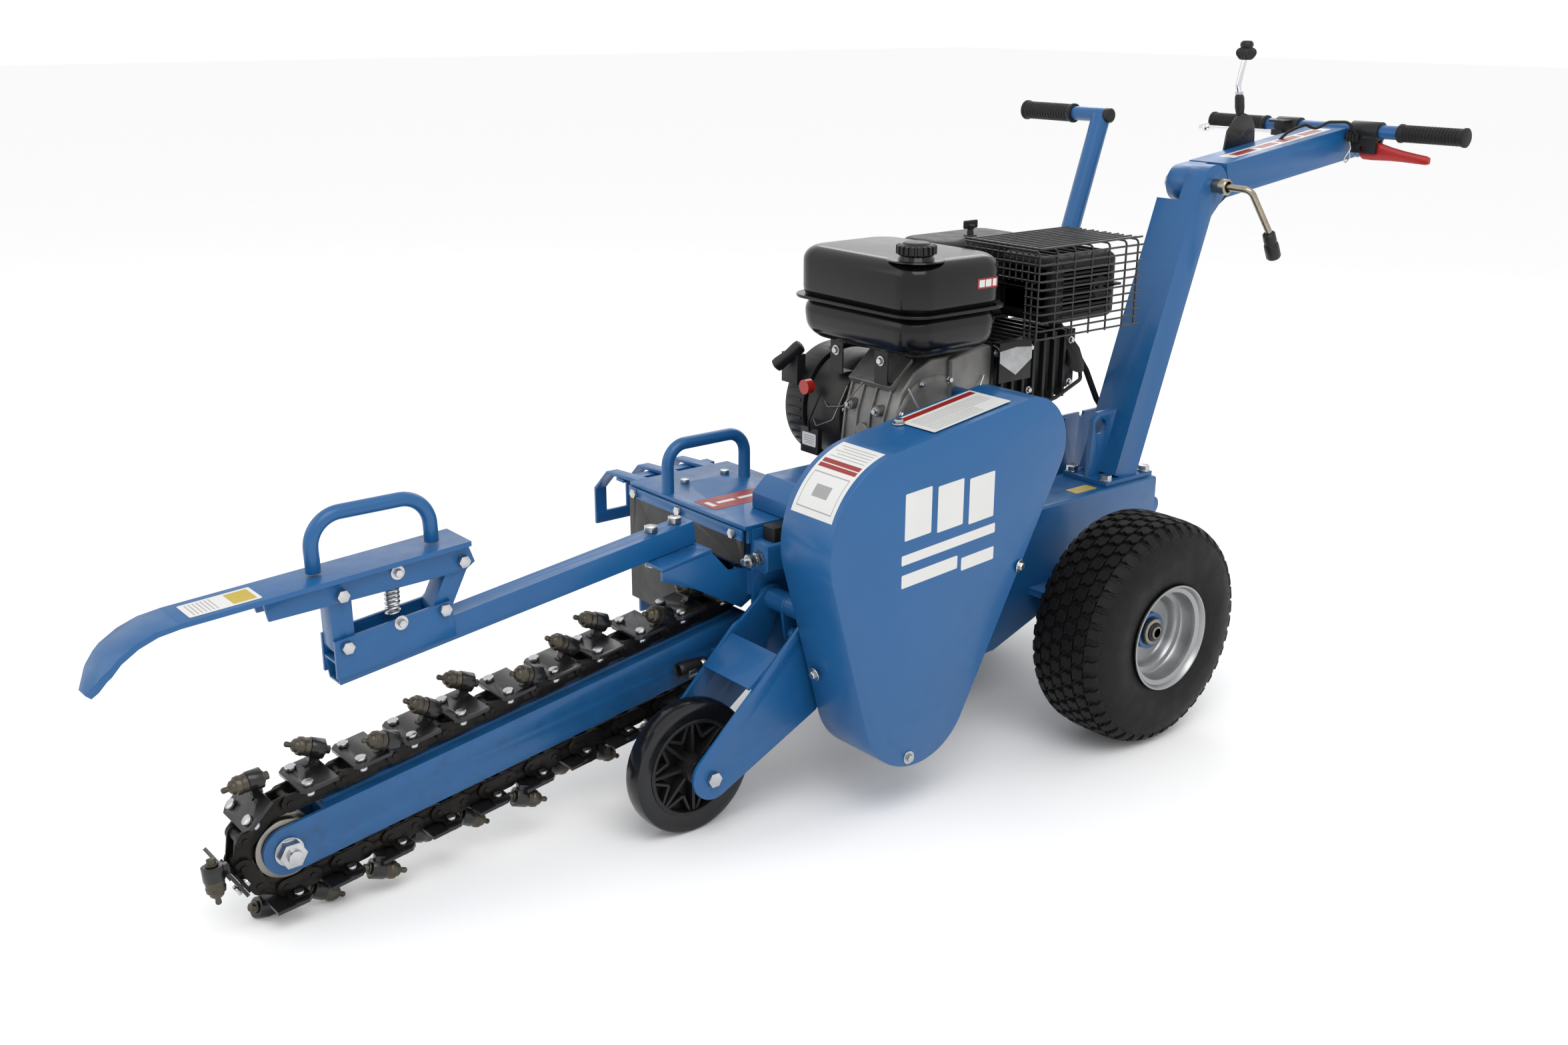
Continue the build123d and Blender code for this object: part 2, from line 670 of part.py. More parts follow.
with BuildPart() as cleaner_spring:
    with BuildLine() as coil:
        Helix(pitch=8, height=56, radius=9, center=(-1159, 95, 390))
    with BuildSketch(Plane(coil.line @ 0, z_dir=coil.line % 0)):
        Circle(2)
    sweep(path=coil.line, is_frenet=True)
save(cleaner_spring.part, "cleaner_spring")

# ---------------------------------------------------------------- wheels
# Half sections of the tyres and the rim: radius, distance from the middle plane
TYRE = (
    (76, -62),
    (92, -72),
    (140, -76),
    (172, -68),
    (186, -46),
    (REAR_R, 0),
    (186, 46),
    (172, 68),
    (140, 76),
    (92, 72),
    (76, 62),
    (76, 50),
    (158, 50),
    (158, -50),
    (76, -50),
)
RIM = (
    (75.7, -70),
    (88, -72),
    (88, -76),
    (72, -76),
    (66, -40),
    (30, -34),
    (16, -34),
    (16, 34),
    (30, 34),
    (60, 30),
    (66, 70),
    (88, 76),
    (88, 72),
    (75.7, 70),
)
FRONT_TYRE = (
    (76, -15),
    (95, -FRONT_W / 2),
    (100, -13),
    (FRONT_R, 0),
    (100, 13),
    (95, FRONT_W / 2),
    (76, 15),
)
with BuildPart() as rear_tyre:
    with BuildSketch(Plane.XY):
        with BuildLine():
            Polyline(*TYRE, close=True)
        make_face()
    revolve(axis=Axis.Y)
with BuildPart() as rear_rim:
    with BuildSketch(Plane.XY):
        with BuildLine():
            Polyline(*RIM, close=True)
        make_face()
    revolve(axis=Axis.Y)
for side, name in ((-1, "near"), (1, "far")):
    place = Location((0, side * REAR_Y, REAR_R), (0, 0, 0 if side < 0 else 180))
    save(place * rear_tyre.part, "rear_tyre_" + name)
    save(place * rear_rim.part, "rear_rim_" + name)

with BuildPart() as axle:
    pin_y(0, REAR_R, -REAR_Y - 36, REAR_Y + 36, 15)
    for side in (-1, 1):
        pin_y(0, REAR_R, side * (REAR_Y + 38) - 3.6, side * (REAR_Y + 38) + 3.6, 22)
        pin_y(0, REAR_R, side * (REAR_Y + 44) - 4, side * (REAR_Y + 44) + 4, 11)
save(axle.part, "axle")

with BuildPart() as front_tyre:
    with BuildSketch(Plane.XY):
        with BuildLine():
            Polyline(*FRONT_TYRE, close=True)
        make_face()
    revolve(axis=Axis.Y)
with BuildPart() as front_hub:
    with Locations(Location((0, 0, 0), (90, 0, 0))):
        Cylinder(75.7, 30)
        Cylinder(70, 40, mode=Mode.SUBTRACT)
        Cylinder(21, 50)
        with PolarLocations(44, 8):
            Box(54, 5, 22)
        Cylinder(8.6, 60, mode=Mode.SUBTRACT)
save(Location(FRONT_C) * front_tyre.part, "front_tyre")
save(Location(FRONT_C) * front_hub.part, "front_hub")

with BuildPart() as front_axle:
    pin_y(FRONT_C[0], FRONT_C[2], -112, 20, 8)
    hex_y(FRONT_C[0], FRONT_C[2], -112, -105.4, 12)
    hex_y(FRONT_C[0], FRONT_C[2], 13.4, 20, 12)
    pin_y(FRONT_C[0], FRONT_C[2], -98.6, -71, 12)
    pin_y(FRONT_C[0], FRONT_C[2], -19, 6.6, 12)
save(front_axle.part, "front_axle")

with BuildPart() as fork:
    hull_slab(((FRONT_C[0] + 2, 106, 36), (-590, 165, 10), (*FORK_PIVOT, 22)), -105, -99)
    hull_slab(((FRONT_C[0] + 2, 106, 36), (-650, 206, 46), (-628, 240, 42)), 7, 13)
    hull_slab(((-650, 212, 46), (*FORK_PIVOT, 21)), 7, 13)
    for y0, y1 in ((-105, -99), (7, 13)):
        pin_y(FRONT_C[0], FRONT_C[2], y0 - 1, y1 + 1, 8.3, mode=Mode.SUBTRACT)
    beam((-708, 222), (-654, 262), -100, 8, 6)
    pin_y(*FORK_PIVOT, -99.5, 7.5, 17)
    hull_slab(((*FORK_PIVOT, 18), (FORK_PIVOT[0], FORK_PIVOT[1] - CRANK_R, 12)), -38, -32)
    pin_y(FORK_PIVOT[0], FORK_PIVOT[1] - CRANK_R, -52, -37, 6)
    pin_y(*FORK_PIVOT, -110, 20, 10.4, mode=Mode.SUBTRACT)
save(fork.part, "fork")

# ---------------------------------------------------------------- depth control
with BuildPart() as depth_lever:
    tube_run(((226, LEVER_Y, 332), (164, LEVER_Y, 560), (305, LEVER_Y, 980)), 60, 17)
    pin_y(305, 980, 141, 342, 12.5)
    pin_y(*LEVER_PIVOT, 132.6, 176, 24)
    pin_y(*LEVER_PIVOT, -38, 160, 12.5)
    hull_slab(((*LEVER_PIVOT, 14), (LEVER_PIVOT[0], LEVER_PIVOT[1] - CRANK_R, 12)), -38, -32)
    pin_y(LEVER_PIVOT[0], LEVER_PIVOT[1] - CRANK_R, -52, -37, 6)
save(depth_lever.part, "depth_lever")

with BuildPart() as link_rod:
    rod_front = (FORK_PIVOT[0], FORK_PIVOT[1] - CRANK_R)
    rod_rear = (LEVER_PIVOT[0], LEVER_PIVOT[1] - CRANK_R)
    beam(rod_front, rod_rear, -50, -40, 14)
    for x, z in (FORK_PIVOT, LEVER_PIVOT):
        pin_y(x, z - CRANK_R, -50, -40, 11)
        pin_y(x, z - CRANK_R, -57, -30, 6.4, mode=Mode.SUBTRACT)
save(link_rod.part, "link_rod")


with BuildPart() as lever_grip:
    pin_y(305, 980, 224, 344, 16)
    pin_y(305, 980, 220, 342.3, 12.7, mode=Mode.SUBTRACT)
save(lever_grip.part, "lever_grip")

# ---------------------------------------------------------------- tilt arm and handlebar
with BuildPart() as tilt_arm:
    hull_slab(((*KNUCKLE, 32), (432, 874, 30)), -1, 41)
    beam((414, 874), (808, 923), -41, 41, 60)
    beam((420, 875), (812, 923.5), -37, 37, 52, mode=Mode.SUBTRACT)
    hull_slab(((*KNUCKLE, 38), (KNUCKLE[0] - 10, 820, 40)), -42, -1.4, mode=Mode.SUBTRACT)
    pin_y(*KNUCKLE, -2, 42, 10.4, mode=Mode.SUBTRACT)
    slab(((812, 897), (812, 956), (822, 950), (828, 892)), -41, 41)
    pin_y(*HANDLE, -50, 50, 12.8, mode=Mode.SUBTRACT)
save(tilt_arm.part, "tilt_arm")

with BuildPart() as handlebar:
    pin_y(*HANDLE, -270, 270, 12.5)
save(handlebar.part, "handlebar")

with BuildPart() as grips:
    for side in (-1, 1):
        pin_y(*HANDLE, side * 206 - 63, side * 206 + 63, 16)
        pin_y(*HANDLE, side * 272.5 - 3, side * 272.5 + 3, 18)
        pin_y(*HANDLE, side * 205.2 - 65, side * 205.2 + 65, 12.7, mode=Mode.SUBTRACT)
save(grips.part, "grips")

with BuildPart() as clamp_lever:
    pin_y(*KNUCKLE, -68, 58, 10)
    pin_y(*KNUCKLE, -68, -41.4, 14)
    pin_y(*KNUCKLE, 41.4, 58, 16)
    tube_run(((380, -62, 867), (392, -108, 864), (434, -122, 793), (446, -122, 771)), 15, 6)
    with Locations(Location((447, -122, 767), (0, 151, 0))):
        Cylinder(14, 50)
save(clamp_lever.part, "clamp_lever")

with BuildPart() as lever_mounts:
    pin_y(*HANDLE, -106, -47, 18)
    block(776, 800, -104, -52, 905, 936)
    pin_y(*HANDLE, -107, -46, 12.7, mode=Mode.SUBTRACT)
    block(783, 793, -108, -60, 900, 930, mode=Mode.SUBTRACT)
    pin_x(-75, 914, 774, 802, 4.5, mode=Mode.SUBTRACT)
    # clamp of the parking lever
    pin_y(*HANDLE, 68, 118, 17)
    block(747, 784, 80, 114, 919, 957)
    pin_y(*HANDLE, 66, 120, 12.7, mode=Mode.SUBTRACT)
    block(746, 772, 78, 120, 923, 953, mode=Mode.SUBTRACT)
    pin_z(758, 97, 910, 960, 4.4, mode=Mode.SUBTRACT)
save(lever_mounts.part, "lever_mounts")

STOP_OUTLINE = (
    (-66, 920),
    (-66, 909),
    (-80, 904),
    (-150, 898),
    (-206, 894),
    (-211, 899),
    (-208, 910),
    (-145, 920),
    (-104, 923),
)
with BuildPart() as stop_lever:
    with BuildSketch(Plane.YZ.offset(784)) as outline:
        with BuildLine():
            Polyline(*STOP_OUTLINE, close=True)
        make_face()
    extrude(outline.sketch, amount=8)
    pin_x(-75, 914, 775, 801, 4.4)
save(stop_lever.part, "stop_lever")


with BuildPart() as park_lever:
    pin_z(758, 97, 918, 958, 4)
    block(753.6, 762.4, 85, 279, 926, 940)
    pin_y(758, 933, 262, 285, 10)
save(park_lever.part, "park_lever")

with BuildPart() as quadrant:
    slab(((510, 909), (604, 921), (600, 956), (586, 974), (562, 981), (540, 972), (518, 950)), 41.4, 45)
    pin_y(564, 940, 40, 60, 5)
save(quadrant.part, "quadrant")

with BuildPart() as throttle_lever:
    hull_slab(((564, 940, 9), (554, 990, 6)), 46, 50)
    pin_y(564, 940, 40, 60, 5.4, mode=Mode.SUBTRACT)
    tube_run(((555, 48, 982), (546, 48, 1020), (560, 48, 1068)), 20, 5)
    with Locations((562, 48, 1086)):
        Cylinder(19, 24)
save(throttle_lever.part, "throttle_lever")

# ---------------------------------------------------------------- engine
with BuildPart() as engine_block:
    block(-362, -178, -14, 190, BED_Z + 12, 640)
    fillet(engine_block.edges().filter_by(Axis.Y), 26)
    block(-364, -100, -34, 158, BED_Z, BED_Z + 10)
    block(-350, -190, -24, 150, BED_Z + 8, BED_Z + 40)
    block(-190, 50, -14, 128, 548, 640)
    for i in range(8):
        block(-150 + i * 25, -144 + i * 25, -24, 138, 536, 650)
    block(50, 68, -10, 124, 552, 646)
    block(-200, 40, 120, 189, 566, 655)
    block(-300, -160, 6, 150, 630, 654.5)
    pin_y(*CRANK, -35, 191, 12.9, mode=Mode.SUBTRACT)
    for x in (-346, -122):
        for y in (-19, 143):
            pin_z(x, y, BED_Z - 1, BED_Z + 12, 5.4, mode=Mode.SUBTRACT)
            pin_z(x, y, BED_Z + 10, BED_Z + 40, 12, mode=Mode.SUBTRACT)
save(engine_block.part, "engine_block")

with BuildPart() as recoil_housing:
    pin_y(*CRANK, 192, 238, 98)
    pin_y(*CRANK, 238, 250, 76)
    pin_y(*CRANK, 190, 233, 84, mode=Mode.SUBTRACT)
    block(-300, -230, 190, 205, 600, 700, mode=Mode.SUBTRACT)
    block(-368, -350, 205, 246, 570, 620)
    # engine control box
    block(-372, -363, 146, 190, 462, 506)
save(recoil_housing.part, "recoil_housing")

with BuildPart() as starter_handle:
    block(-380, -369, 246, 276, 590, 612)
    fillet(starter_handle.edges().filter_by(Axis.Y), 5)
save(starter_handle.part, "starter_handle")

with BuildPart() as fuel_tank:
    block(-388, -180, -88, 200, 656, 806)
    fillet(fuel_tank.edges(), 34)
    with BuildSketch(Plane.XY.offset(722)):
        with Locations((-284, 56)):
            RectangleRounded(222, 302, 40)
    extrude(amount=6)
    pin_z(-345, -45, 800, 812, 24)
save(fuel_tank.part, "fuel_tank")

with BuildPart() as fuel_cap:
    pin_z(-345, -45, 812.4, 832, 29)
    with Locations((-345, -45, 822)):
        with PolarLocations(29, 12):
            Cylinder(4, 19)
save(fuel_cap.part, "fuel_cap")

with BuildPart() as muffler:
    block(-56, 100, -68, 60, 672, 782)
    fillet(muffler.edges(), 20)
    block(-60, 104, -72, 64, 725, 729)
    pin_z(40, 20, 656.5, 690, 14)
    # heat shield
    block(-151, -76, -43, -41, 586, 652)
    block(-151, -76, -43, -25, 650, 652)
save(muffler.part, "muffler")

CAGE = (-120, 124, -90, 78, 661, 805)
with BuildPart() as muffler_cage:
    x0, x1, y0, y1, z0, z1 = CAGE
    for z in [z0 + 13.1 * k for k in range(12)]:
        block(x0, x1 + 10, y0 - 2, y0 + 2, z - 2, z + 2)
    for x in (x0 + 4, -76, -34, 8, 50, 92, x1):
        block(x - 2, x + 2, y0 - 2, y0 + 2, z0 - 2, z1)
        block(x - 2, x + 2, y0 - 2, y1, z1 - 4, z1)
    for y in [y0 + 14 * k for k in range(1, 13)]:
        block(x0, x1, y - 2, y + 2, z1 - 4, z1)
        block(x0, x0 + 4, y - 2, y + 2, z1 - 52, z1)
    block(x0, x0 + 4, y0 - 2, y1, z1 - 54, z1 - 50)
    block(x0, x0 + 4, y0 - 2, y0 + 30, z0 - 2, z0 + 2)
    block(x0, x0 + 4, y0 + 26, y0 + 30, z0 - 2, z1 - 50)
    block(-90, 100, y0 - 2, 30, z0 - 2, z0 + 2)
    pin_z(40, 20, z0 - 3, z0 + 3, 17, mode=Mode.SUBTRACT)
save(muffler_cage.part, "muffler_cage")

with BuildPart() as air_cleaner:
    block(-160, 40, 84, 196, 660, 800)
    fillet(air_cleaner.edges().filter_by(Axis.Z), 24)
    fillet(air_cleaner.edges().group_by(Axis.Z)[-1], 10)
    pin_z(-63, 120, 799, 806, 12)
    # wing knob
    pin_z(-63, 120, 806.4, 824, 7)
    block(-80, -46, 117, 123, 812, 826)
save(air_cleaner.part, "air_cleaner")


with BuildPart() as engine_switch:
    with Locations(Location((-376, 170, 575), (0, 90, 0))):
        Cylinder(12, 14)
save(engine_switch.part, "engine_switch")

# ---------------------------------------------------------------- control cables
THROTTLE_CABLE = (
    (344, 47, 760),
    (300, 47, 640),
    (260, 48, 500),
    (249, 50, 446),
    (218, 54, 486),
    (186, 57, 546),
    (146, 62, 600),
    (104, 90, 612),
    (78, 100, 600),
)
STOP_CABLE = (
    (338, 55, 746),
    (300, 55, 640),
    (260, 56, 500),
    (249, 58, 446),
    (218, 62, 486),
    (186, 65, 546),
    (146, 71, 600),
    (108, 98, 602),
    (80, 108, 588),
)
with BuildPart() as control_cables:
    tube_run(THROTTLE_CABLE, 14, 3)
    tube_run(STOP_CABLE, 14, 3)
save(control_cables.part, "control_cables")

# ---------------------------------------------------------------- fasteners of the fixed structure
with BuildPart() as machine_bolts:
    for x in (139, 243):
        for y in (-39, 39):
            pin_z(x, y, TOP_Z - 14, TOP_Z + 9, 6)
            pin_z(x, y, TOP_Z + 8.8, TOP_Z + 11, 11)
            hex_z(x, y, TOP_Z + 11, TOP_Z + 19, 10.5)
            hex_z(x, y, TOP_Z - 14, TOP_Z - 5.4, 8.4)
    # engine feet
    for x in (-346, -122):
        for y in (-19, 143):
            pin_z(x, y, TOP_Z + 24, BED_Z + 11, 5)
            hex_z(x, y, BED_Z + 10.4, BED_Z + 18, 9)
    # stud on the near rail
    pin_x(2, 374, FRONT_X - 34, FRONT_X + 30, 6)
    hex_x(2, 374, FRONT_X - 10, FRONT_X - 0.3, 11)
    hex_x(2, 374, FRONT_X - 25, FRONT_X - 15, 11)
    # boom root
    for d in (762, 784):
        pin_y(*along(d), 65.9, 124.4, 6)
        hex_y(*along(d), 124.3, 132, 9.5)
    # nose axle
    pin_y(*NOSE, 40, 136, 10)
    pin_y(*NOSE, 62.2, 65.6, 20)
    hex_y(*NOSE, 48, 62.2, 19)
    pin_y(*NOSE, 124.4, 127, 20)
    hex_y(*NOSE, 127, 138, 19)
    # chain tension screw
    with Locations(Location((-690, 43, 207.5), (0, 90 - BOOM_RISE, 0))):
        Cylinder(6, 54)
        with Locations((0, 0, -20)):
            Cylinder(10, 14)
        with Locations((0, 0, 4)):
            Cylinder(11, 8)
    # cleaner bar
    for x, z in ((-740, 419.5), (-697, 425.5)):
        pin_z(x, 95, z - 54, z + 2, 6)
        hex_z(x, 95, z + 0.5, z + 9, 11)
        hex_z(x, 95, z - 54, z - 46.5, 11)
    # lower pivots of the cleaner links
    for x, z in (CL_BF, CL_BR):
        pin_y(x, z, 68, 122, 5)
        hex_y(x, z, 65, 72.2, 9)
        hex_y(x, z, 117.8, 125, 9)
    # hood and flap
    for x, y in ((-551, 271), (-467, 274)):
        pin_z(x, y, DECK_Z + 0.02, DECK_Z + 6.4, 4)
        hex_z(x, y, DECK_Z + 6.4, DECK_Z + 12.4, 8.2)
    # bolts of the flap's clamp bar
    for y in (52, 193, 316):
        pin_x(y, 404, -620, -605.8, 4)
        hex_x(y, 404, -625, -619.8, 8)
save(machine_bolts.part, "machine_bolts")
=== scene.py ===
import json
import math

import bmesh
import bpy
from mathutils import Matrix, Vector


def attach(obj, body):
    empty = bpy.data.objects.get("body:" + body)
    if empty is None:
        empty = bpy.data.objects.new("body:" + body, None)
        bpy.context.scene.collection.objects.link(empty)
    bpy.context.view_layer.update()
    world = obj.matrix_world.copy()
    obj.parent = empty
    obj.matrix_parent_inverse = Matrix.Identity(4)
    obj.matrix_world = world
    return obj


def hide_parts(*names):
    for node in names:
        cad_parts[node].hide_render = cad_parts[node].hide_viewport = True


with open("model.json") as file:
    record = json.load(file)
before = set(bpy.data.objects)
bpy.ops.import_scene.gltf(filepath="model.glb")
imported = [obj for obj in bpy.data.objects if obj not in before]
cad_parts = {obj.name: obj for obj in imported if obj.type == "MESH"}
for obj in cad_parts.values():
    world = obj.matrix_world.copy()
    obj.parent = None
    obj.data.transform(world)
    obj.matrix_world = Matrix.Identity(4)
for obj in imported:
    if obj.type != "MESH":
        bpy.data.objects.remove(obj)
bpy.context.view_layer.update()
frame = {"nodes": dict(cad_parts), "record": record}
NODES = frame["nodes"]
MM = 0.001
# edges sharper than this many degrees are rounded
EDGE_ANGLE = 34


# ------------------------------------------------------------------ camera
YAW, PITCH, ROLL = (math.radians(a) for a in (50.79, 17.986, 0.291))
CAMERA_AT = (-2.02606, -1.79498, 1.17447)
SENSOR = 36
# focal length over frame width, both in pixels of the full frame
FOCAL = 2414.725 / 2352


def camera():
    d = Vector((math.cos(PITCH) * math.cos(YAW), math.cos(PITCH) * math.sin(YAW), -math.sin(PITCH)))
    r = Vector((math.sin(YAW), -math.cos(YAW), 0))
    u = r.cross(d)
    right = math.cos(ROLL) * r + math.sin(ROLL) * u
    up = math.cos(ROLL) * u - math.sin(ROLL) * r
    data = bpy.data.cameras.new("camera")
    data.sensor_width = SENSOR
    data.lens = FOCAL * SENSOR
    data.clip_end = 60
    cam = bpy.data.objects.new("camera", data)
    bpy.context.collection.objects.link(cam)
    m = Matrix((right, up, -d)).transposed().to_4x4()
    m.translation = Vector(CAMERA_AT)
    cam.matrix_world = m
    bpy.context.scene.camera = cam


camera()


# ------------------------------------------------------------------ materials
def noise(t, scale, detail):
    c = t.nodes.new("ShaderNodeTexCoord")
    n = t.nodes.new("ShaderNodeTexNoise")
    n.inputs["Scale"].default_value = scale
    n.inputs["Detail"].default_value = detail
    t.links.new(c.outputs["Object"], n.inputs["Vector"])
    return n.outputs["Fac"]


def remap(t, fac, a, b, lo=0.3, hi=0.7):
    r = t.nodes.new("ShaderNodeMapRange")
    r.inputs["From Min"].default_value = lo
    r.inputs["From Max"].default_value = hi
    r.inputs["To Min"].default_value = a
    r.inputs["To Max"].default_value = b
    t.links.new(fac, r.inputs["Value"])
    return r.outputs["Result"]


def blend_colour(t, fac, a, b):
    """Colour between a and b by fac; a is a colour or another node's output."""
    x = t.nodes.new("ShaderNodeMix")
    x.data_type = "RGBA"
    t.links.new(fac, x.inputs[0])
    if isinstance(a, tuple):
        x.inputs[6].default_value = (*a, 1)
    else:
        t.links.new(a, x.inputs[6])
    x.inputs[7].default_value = (*b, 1)
    return x.outputs[2]


def bump(t, p, height, strength):
    b = t.nodes.new("ShaderNodeBump")
    b.inputs["Strength"].default_value = strength
    b.inputs["Distance"].default_value = MM
    t.links.new(height, b.inputs["Height"])
    t.links.new(b.outputs["Normal"], p.inputs["Normal"])


def surface(name, colour, rough, metal=0.0, shade=0.86, spread=0.06, grain=700, depth=0.12, coat=0.0,
            patch=9, dust=None, spec=0.5):
    """A finish with blotchy colour, uneven gloss and a fine relief."""
    m = bpy.data.materials.new(name)
    m.use_nodes = True
    t = m.node_tree
    p = t.nodes["Principled BSDF"]
    dark = tuple(c * shade for c in colour)
    base = blend_colour(t, remap(t, noise(t, patch, 4), 0, 1), dark, colour)
    if dust:
        base = blend_colour(t, remap(t, noise(t, 55, 6), 0, 0.55, 0.52, 0.78), base, dust)
    t.links.new(base, p.inputs["Base Color"])
    t.links.new(remap(t, noise(t, 40, 5), rough - spread, rough + spread), p.inputs["Roughness"])
    p.inputs["Metallic"].default_value = metal
    p.inputs["Coat Weight"].default_value = coat
    p.inputs["Coat Roughness"].default_value = 0.12
    p.inputs["Specular IOR Level"].default_value = spec
    bump(t, p, noise(t, grain, 2), depth)
    return m


BLUE = surface("blue_paint", (0.0075, 0.09, 0.252), 0.36, coat=0.16, shade=0.93, grain=420, depth=0.05,
               spec=0.4)
BLUE_WORN = surface("worn_blue_paint", (0.009, 0.084, 0.23), 0.4, coat=0.15, shade=0.86, grain=300, depth=0.08,
                    dust=(0.012, 0.05, 0.12), patch=7, spec=0.4)
BLACK = surface("black_paint", (0.008, 0.008, 0.009), 0.32, coat=0.25, shade=0.7, grain=500, depth=0.08,
                spec=0.4)
CHAIN = surface("chain_steel", (0.016, 0.0145, 0.0135), 0.4, metal=0.6, shade=0.5, grain=260, depth=0.25,
                dust=(0.035, 0.028, 0.022), spec=0.35)
BIT = surface("bit_steel", (0.105, 0.092, 0.072), 0.4, metal=0.8, shade=0.55, grain=300, depth=0.3,
              dust=(0.045, 0.036, 0.026), patch=60)
ZINC = surface("zinc", (0.56, 0.57, 0.58), 0.27, metal=1, shade=0.8, grain=900, depth=0.1, patch=80)
SILVER = surface("rim_silver", (0.36, 0.365, 0.37), 0.36, metal=0.85, shade=0.88, grain=800, depth=0.06)
STEEL = surface("steel", (0.3, 0.28, 0.25), 0.3, metal=1, shade=0.7, grain=300, depth=0.15, patch=30)
BRASS = surface("yellow_zinc", (0.62, 0.47, 0.2), 0.3, metal=1, shade=0.8, patch=50)
CAST = surface("cast_aluminium", (0.25, 0.247, 0.24), 0.5, metal=0.7, shade=0.6, grain=600, depth=0.45,
               patch=25)
CAST_DARK = surface("dark_casting", (0.012, 0.012, 0.013), 0.45, metal=0.3, shade=0.7, grain=600, depth=0.3,
                    spec=0.35)
GALV = surface("galvanised_sheet", (0.45, 0.46, 0.47), 0.35, metal=0.9, shade=0.75, patch=60)
CHROME = surface("chrome", (0.78, 0.78, 0.8), 0.08, metal=1, spread=0.03, depth=0.02)
TANK = surface("tank_paint", (0.0035, 0.0035, 0.0038), 0.18, coat=0.1, spread=0.04, shade=0.8, grain=260,
               depth=0.03, spec=0.28)
RUBBER = surface("rubber", (0.009, 0.009, 0.0095), 0.55, shade=0.8, grain=600, depth=0.3, spec=0.3)
TYRE = surface("tyre_rubber", (0.006, 0.0058, 0.0056), 0.58, shade=0.7, grain=500, depth=0.35,
               dust=(0.012, 0.011, 0.010), spec=0.2)
GLOSS_RUBBER = surface("solid_tyre", (0.005, 0.005, 0.006), 0.24, coat=0.15, shade=0.8, grain=300, depth=0.05,
                       spec=0.35)
HOUSING = surface("housing_grey", (0.036, 0.035, 0.034), 0.42, metal=0.7, shade=0.7, grain=500, depth=0.3,
                  patch=20)
CHROMATE = surface("chromate_rod", (0.40, 0.35, 0.27), 0.26, metal=1, shade=0.75, grain=500, depth=0.1,
                   patch=60)
PLASTIC = surface("black_plastic", (0.009, 0.009, 0.01), 0.42, shade=0.85, grain=900, depth=0.15, spec=0.35)
SATIN = surface("satin_cover", (0.012, 0.012, 0.013), 0.48, shade=0.85, grain=1200, depth=0.2, spec=0.35)
RED = surface("red_plastic", (0.40, 0.012, 0.009), 0.32, coat=0.2, shade=0.85, depth=0.04)
WHITE = surface("label_white", (0.62, 0.62, 0.61), 0.4, shade=0.96, depth=0.03)
LABEL_RED = surface("label_red", (0.26, 0.015, 0.012), 0.4, shade=0.9, depth=0.03)
LABEL_GREY = surface("label_print", (0.3, 0.3, 0.3), 0.5, shade=0.9, depth=0.03)
YELLOW = surface("label_yellow", (0.45, 0.33, 0.02), 0.45, shade=0.9, depth=0.03)

FINISH = {
    "blue_paint": BLUE, "black_paint": BLACK, "zinc": ZINC, "steel": STEEL, "chain_steel": CHAIN,
    "bit_steel": BIT, "chrome": CHROME, "aluminium": CAST, "iron": CAST_DARK, "rubber": RUBBER,
    "tyre": TYRE, "tank_paint": TANK, "black_plastic": PLASTIC, "red_plastic": RED,
}
SLOT = {p["node"]: p["material_slot"] for p in frame["record"]["subparts"]}
BODY = {n: b for b, ns in frame["record"]["behaviour"]["bodies"].items() for n in ns}
MATERIAL = {n: FINISH[SLOT[n]] for n in SLOT}
MATERIAL.update({"boom_bar": BLUE_WORN, "front_tyre": GLOSS_RUBBER, "tooth_plates": BLACK,
                 "rear_rim_near": SILVER, "rear_rim_far": SILVER, "clamp_lever": CHROMATE,
                 "bearing_cover": BLUE, "rubber_flap": PLASTIC, "muffler": CAST_DARK, "air_cleaner": SATIN,
                 "engine_block": CAST, "cleaner_spring": ZINC,})


# ------------------------------------------------------------------ making pieces
def new(name, mesh, body, material):
    o = bpy.data.objects.new(name, mesh)
    bpy.context.collection.objects.link(o)
    o.data.materials.clear()
    o.data.materials.append(material)
    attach(o, body)
    return o


def smooth(o, angle):
    for p in o.data.polygons:
        p.use_smooth = True
    bm = bmesh.new()
    bm.from_mesh(o.data)
    limit = math.radians(angle)
    for e in bm.edges:
        e.smooth = len(e.link_faces) == 2 and e.calc_face_angle(0) < limit
    bm.to_mesh(o.data)
    bm.free()


def soften(o, width, segments=2):
    b = o.modifiers.new("edge", "BEVEL")
    b.width = width * MM
    b.segments = segments
    b.limit_method = "ANGLE"
    b.angle_limit = math.radians(EDGE_ANGLE)
    b.use_clamp_overlap = True
    b.harden_normals = True
    for p in o.data.polygons:
        p.use_smooth = True


def finish_mesh(bm, name):
    mesh = bpy.data.meshes.new(name)
    bm.to_mesh(mesh)
    bm.free()
    return mesh


def dress(node, width):
    """The CAD piece with clean faces and rounded edges, standing for its node."""
    bm = bmesh.new()
    bm.from_mesh(NODES[node].data)
    bmesh.ops.remove_doubles(bm, verts=bm.verts, dist=2e-6)
    bmesh.ops.dissolve_limit(bm, angle_limit=math.radians(0.6), verts=bm.verts, edges=bm.edges)
    o = new(node + "_look", finish_mesh(bm, node + "_look"), BODY[node], MATERIAL[node])
    soften(o, width)
    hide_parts(node)
    return o


for n, o in NODES.items():
    o.data.materials.clear()
    o.data.materials.append(MATERIAL[n])

